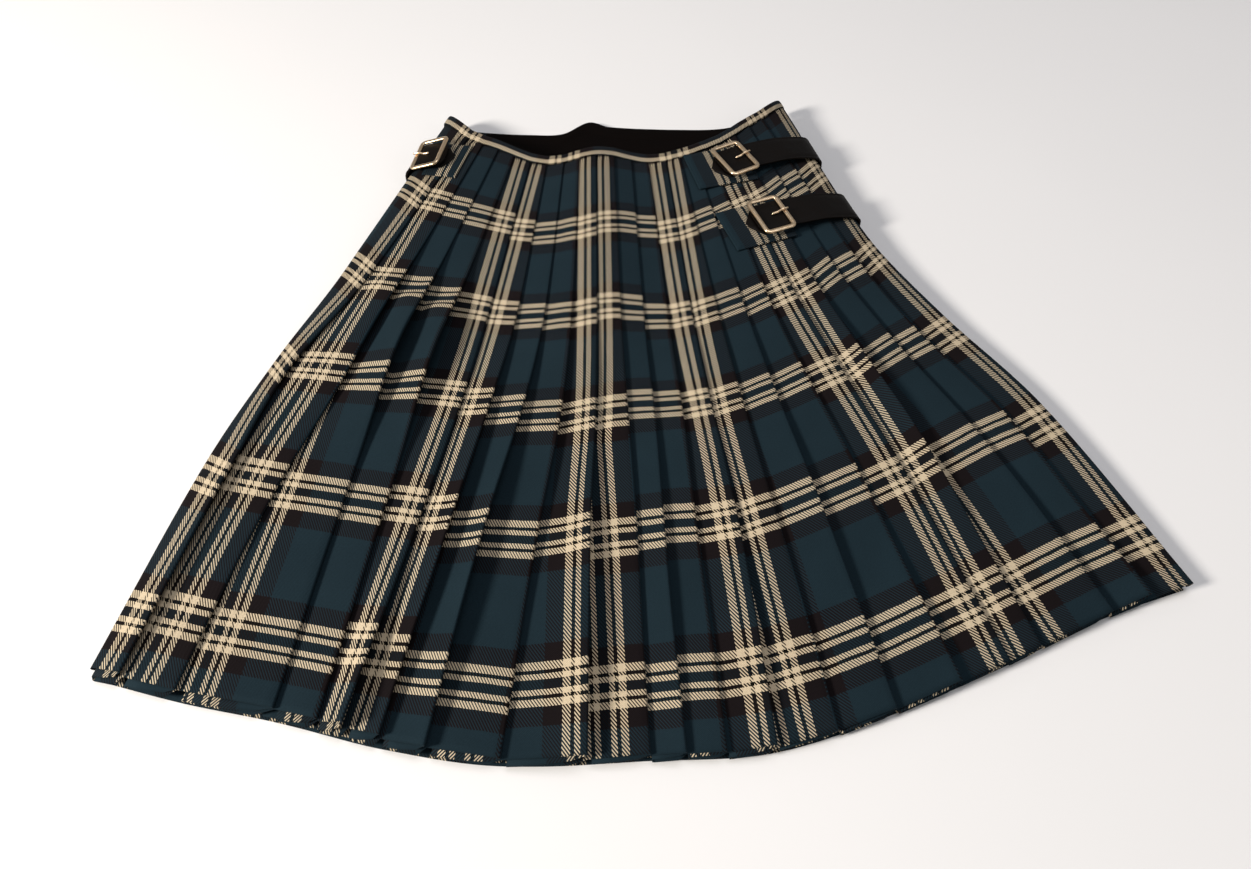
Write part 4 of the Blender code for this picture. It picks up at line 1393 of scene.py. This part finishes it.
            rows.append(np.stack([rim, end[1], np.full_like(rim, height)], axis=-1)[None])
            marks.append(marks[-1] + (4.0, 0.0))
        return np.concatenate(rows), np.concatenate(marks)

    def reach_side(self, start: np.ndarray, outward: np.ndarray) -> np.ndarray:
        """Where plan lines meet the kilt's side, found by closing in on it.

        Args:
            start: X and Y of the start of each line.
            outward: Direction of the lines.

        Returns:
            X and Y of the ends.
        """
        place = start
        for _ in range(ROUNDS):
            run = (self.form.side_edge(place[1], self.side) - start[0]) / outward[0]
            place = start + outward[:, None] * run
        return place

    def strap(self, leather: bpy.types.Material) -> bpy.types.Object:
        """The strap, creased along both edges.

        Args:
            leather: The leather.

        Returns:
            The piece.
        """
        points, threads = self.strap_points()
        obj = table_mesh("leather_strap_" + self.name, points, threads)
        self.face_up(obj)
        thicken(obj, self.leather - 0.2, -1.0)
        soften(obj, 0.5)
        return declare(obj, leather, Slot.LEATHER, "strap_" + self.name)

    def axes(self) -> tuple[np.ndarray, np.ndarray, np.ndarray, np.ndarray]:
        """Centre of the frame and its three directions, resting on the strap.

        Returns:
            The centre, outwards, upwards and away from the cloth.
        """
        outward, upward = self.directions(self.turn)
        level = self.strap_level + self.leather

        def at(a: float, b: float) -> np.ndarray:
            """Point on the strap's face."""
            place = np.array((self.x, self.y)) + outward * a + upward * b
            return self.form.on_back(place[:1], place[1:], level)[0]

        reach_x, reach_y = self.frame_short / 2 - 2, self.frame_long / 2 - 2
        along_x = at(reach_x, 0) - at(-reach_x, 0)
        along_x /= np.linalg.norm(along_x)
        along_y = at(0, reach_y) - at(0, -reach_y)
        normal = np.cross(along_x, along_y)
        normal /= np.linalg.norm(normal)
        normal = normal if normal[2] > 0 else -normal
        along_y = np.cross(normal, along_x)
        middle = at(0, 0)
        offsets = self.strap_points()[0].reshape(-1, 3) - middle
        close = (np.abs(offsets @ along_x) < reach_x + 5) & (np.abs(offsets @ along_y) < reach_y + 5)
        rise = float((offsets[close] @ normal).max())
        inner = middle + normal * (rise + self.gap + self.frame_thick / 2) - along_x * self.frame_short / 2
        lean = math.radians(self.tilt)
        along_x, normal = (along_x * math.cos(lean) - normal * math.sin(lean),
                           normal * math.cos(lean) + along_x * math.sin(lean))
        return inner + along_x * self.frame_short / 2, along_x, along_y, normal

    def buckle(self, gilt: bpy.types.Material) -> bpy.types.Object:
        """The frame: a rounded square of cast bar, softly domed.

        Args:
            gilt: The metal.

        Returns:
            The piece.
        """
        centre, along_x, along_y, normal = self.axes()
        outline, sides = [], []
        radius = self.corner - self.bar / 2 + 0.6
        long, short = self.frame_long / 2 - self.bar / 2, self.frame_short / 2 - self.bar / 2
        for quarter, (sx, sy) in enumerate(((1, 1), (-1, 1), (-1, -1), (1, -1))):
            for k in range(9):
                angle = math.pi / 2 * (quarter + k / 8)
                way = np.array((math.cos(angle), math.sin(angle)))
                outline.append(np.array((sx * (short - radius), sy * (long - radius))) + way * radius)
                sides.append(way)
        outline.append(outline[0])
        sides.append(sides[0])
        rows = []
        for middle, way in zip(outline, sides):
            ring = []
            for k in range(17):
                angle = math.tau * k / 16
                out, up = math.cos(angle), math.sin(angle)
                out = math.copysign(abs(out) ** self.squareness, out) * self.bar / 2
                up = math.copysign(abs(up) ** self.squareness, up) * self.frame_thick / 2
                place = middle + way * out
                ring.append(centre + along_x * place[0] + along_y * place[1] + normal * up)
            rows.append(ring)
        points = np.array(rows)
        obj = table_mesh("frame_" + self.name, points, points[..., :2], joins=True)
        return declare(obj, gilt, Slot.METAL, "buckle_" + self.name)

    def prong(self, gilt: bpy.types.Material) -> bpy.types.Object:
        """The tongue, up through the strap and over the outer bar to a rounded tip.

        Args:
            gilt: The metal.

        Returns:
            The piece.
        """
        centre, along_x, along_y, normal = self.axes()
        reach = self.frame_short / 2 - self.bar - 0.8
        over = self.frame_thick / 2 + self.prong_radius + self.gap
        low = self.prong_radius - self.frame_thick / 2 + self.gap
        places = np.linspace(0, 1, 22)
        knots = (0.0, 0.35, 0.7, 0.92, 1.0)
        edge = self.frame_short / 2
        run = smooth(knots, (0.5, reach * 0.55, reach, edge + 0.2, edge + 0.9), places)
        rise = smooth(knots, (low, 0.5, over - 0.1, over, over - 0.5), places)
        thick = self.prong_radius * np.clip(1.05 - 0.35 * places ** 2, 0, 1)
        thick = thick * np.clip(np.sqrt(np.clip((1.0 - places) / 0.05, 0, 1)), 0.02, 1)
        thick[0] = 0.02
        rows = []
        for along, up, radius in zip(run, rise, thick):
            ring = [centre + along_x * along + along_y * radius * math.cos(math.tau * k / 12)
                    + normal * (up + radius * math.sin(math.tau * k / 12)) for k in range(13)]
            rows.append(ring)
        points = np.array(rows)
        obj = table_mesh("tongue_" + self.name, points, points[..., :2], joins=True)
        return declare(obj, gilt, Slot.METAL, "prong_" + self.name)

    def build(self, tartan: bpy.types.Material, leather: bpy.types.Material,
              gilt: bpy.types.Material) -> list[bpy.types.Object]:
        """Makes every piece of the fastening.

        Args:
            tartan: The cloth.
            leather: The leather.
            gilt: The metal.

        Returns:
            The five pieces.
        """
        return [self.tab(tartan), self.chape(leather), self.strap(leather), self.buckle(gilt),
                self.prong(gilt)]


# ---------------------------------------------------------------- studio
@dataclass
class Studio:
    """A plain pale floor, soft light and the camera."""

    eye: tuple[float, float, float] = (-0.022, -0.5083, 0.6045)
    aim: tuple[float, float, float] = (-0.022, -0.0903, 0.016)
    lens: float = 25.9
    sensor: float = 36.0
    floor_size: float = 6.0
    world: float = 0.27
    world_colour: str = "#f6f7fa"
    lit: tuple[float, float, float] = (0.0, -0.05, 0.0)     # where the lamps point
    # place, size in metres, power in watts and colour of each light
    lights: tuple[tuple[str, tuple[float, float, float], float, float, str], ...] = (
        ("key", (-2.2, -0.9, 1.3), 0.6, 112.0, "#fffaf2"),
        ("sky", (0.4, 0.5, 2.8), 2.0, 30.0, "#f8f9ff"),
        ("fill", (1.6, -1.2, 1.5), 1.2, 5.0, "#ffffff"))

    def floor(self, paper: bpy.types.Material) -> bpy.types.Object:
        """The floor.

        Args:
            paper: Its material.

        Returns:
            The floor, which is only staged.
        """
        bm = bmesh.new()
        bmesh.ops.create_grid(bm, x_segments=1, y_segments=1, size=self.floor_size)
        mesh = bpy.data.meshes.new("floor")
        bm.to_mesh(mesh)
        bm.free()
        obj = bpy.data.objects.new("floor", mesh)
        bpy.context.scene.collection.objects.link(obj)
        dress(obj, paper)
        return obj

    def light(self) -> None:
        """Sets the world's light and the lamps."""
        world = bpy.data.worlds.new("studio")
        world.use_nodes = True
        background = world.node_tree.nodes["Background"]
        fill(world.node_tree, background, {"Color": linear(self.world_colour), "Strength": self.world})
        bpy.context.scene.world = world
        for name, place, size, power, colour in self.lights:
            lamp = bpy.data.lights.new(name, "AREA")
            lamp.shape, lamp.size, lamp.energy = "DISK", size, power
            lamp.color = linear(colour)[:3]
            obj = bpy.data.objects.new(name, lamp)
            bpy.context.scene.collection.objects.link(obj)
            obj.location = place
            obj.rotation_euler = (Vector(self.lit) - Vector(place)).to_track_quat("-Z", "Y").to_euler()

    def camera(self) -> None:
        """Sets the camera."""
        data = bpy.data.cameras.new("camera")
        data.sensor_width = self.sensor
        data.lens = self.lens
        obj = bpy.data.objects.new("camera", data)
        bpy.context.scene.collection.objects.link(obj)
        obj.location = self.eye
        obj.rotation_euler = (Vector(self.aim) - Vector(self.eye)).to_track_quat("-Z", "Y").to_euler()
        bpy.context.scene.camera = obj

    def build(self, paper: bpy.types.Material) -> None:
        """Sets up everything that isn't the kilt.

        Args:
            paper: The floor's material.
        """
        self.floor(paper)
        self.light()
        self.camera()
        bpy.context.scene.view_settings.view_transform = "Standard"


def main() -> None:
    """Builds the kilt piece by piece, then the studio."""
    logging.basicConfig(level=logging.INFO, format="%(name)s %(message)s")
    form = KiltForm()
    tartan, lining = TartanFinish().build(), LiningFinish().build()
    leather, gilt = LeatherFinish().build(), GiltFinish().build()
    PleatedBack(form).build(tartan)
    Front(form).build(tartan, lining)
    band = Waistband(form)
    band.back(tartan)
    band.front(tartan)
    for fastening in (
            Fastening(form, "upper", x=107.5, y=316, turn=29, side=1, tab_long=62, tab_wide=52,
                      tab_shift=-14, tab_turn=16, flat_end=12, strap_turn=22.5),
            Fastening(form, "lower", x=136, y=237.5, turn=23, side=1, tab_long=62, tab_wide=52,
                      tab_shift=-14.5, tab_turn=21, flat_end=12, strap_turn=19),
            Fastening(form, "left", x=-194.5, y=331.5, turn=173, side=-1, tab_long=36, tab_wide=50,
                      tab_shift=-17, tab_turn=165, flat_end=0, strap_turn=173, tilt=5, tab_sett=-14.0)):
        fastening.build(tartan, leather, gilt)
    Studio().build(FloorFinish().build())


if __name__ == "__main__":
    main()
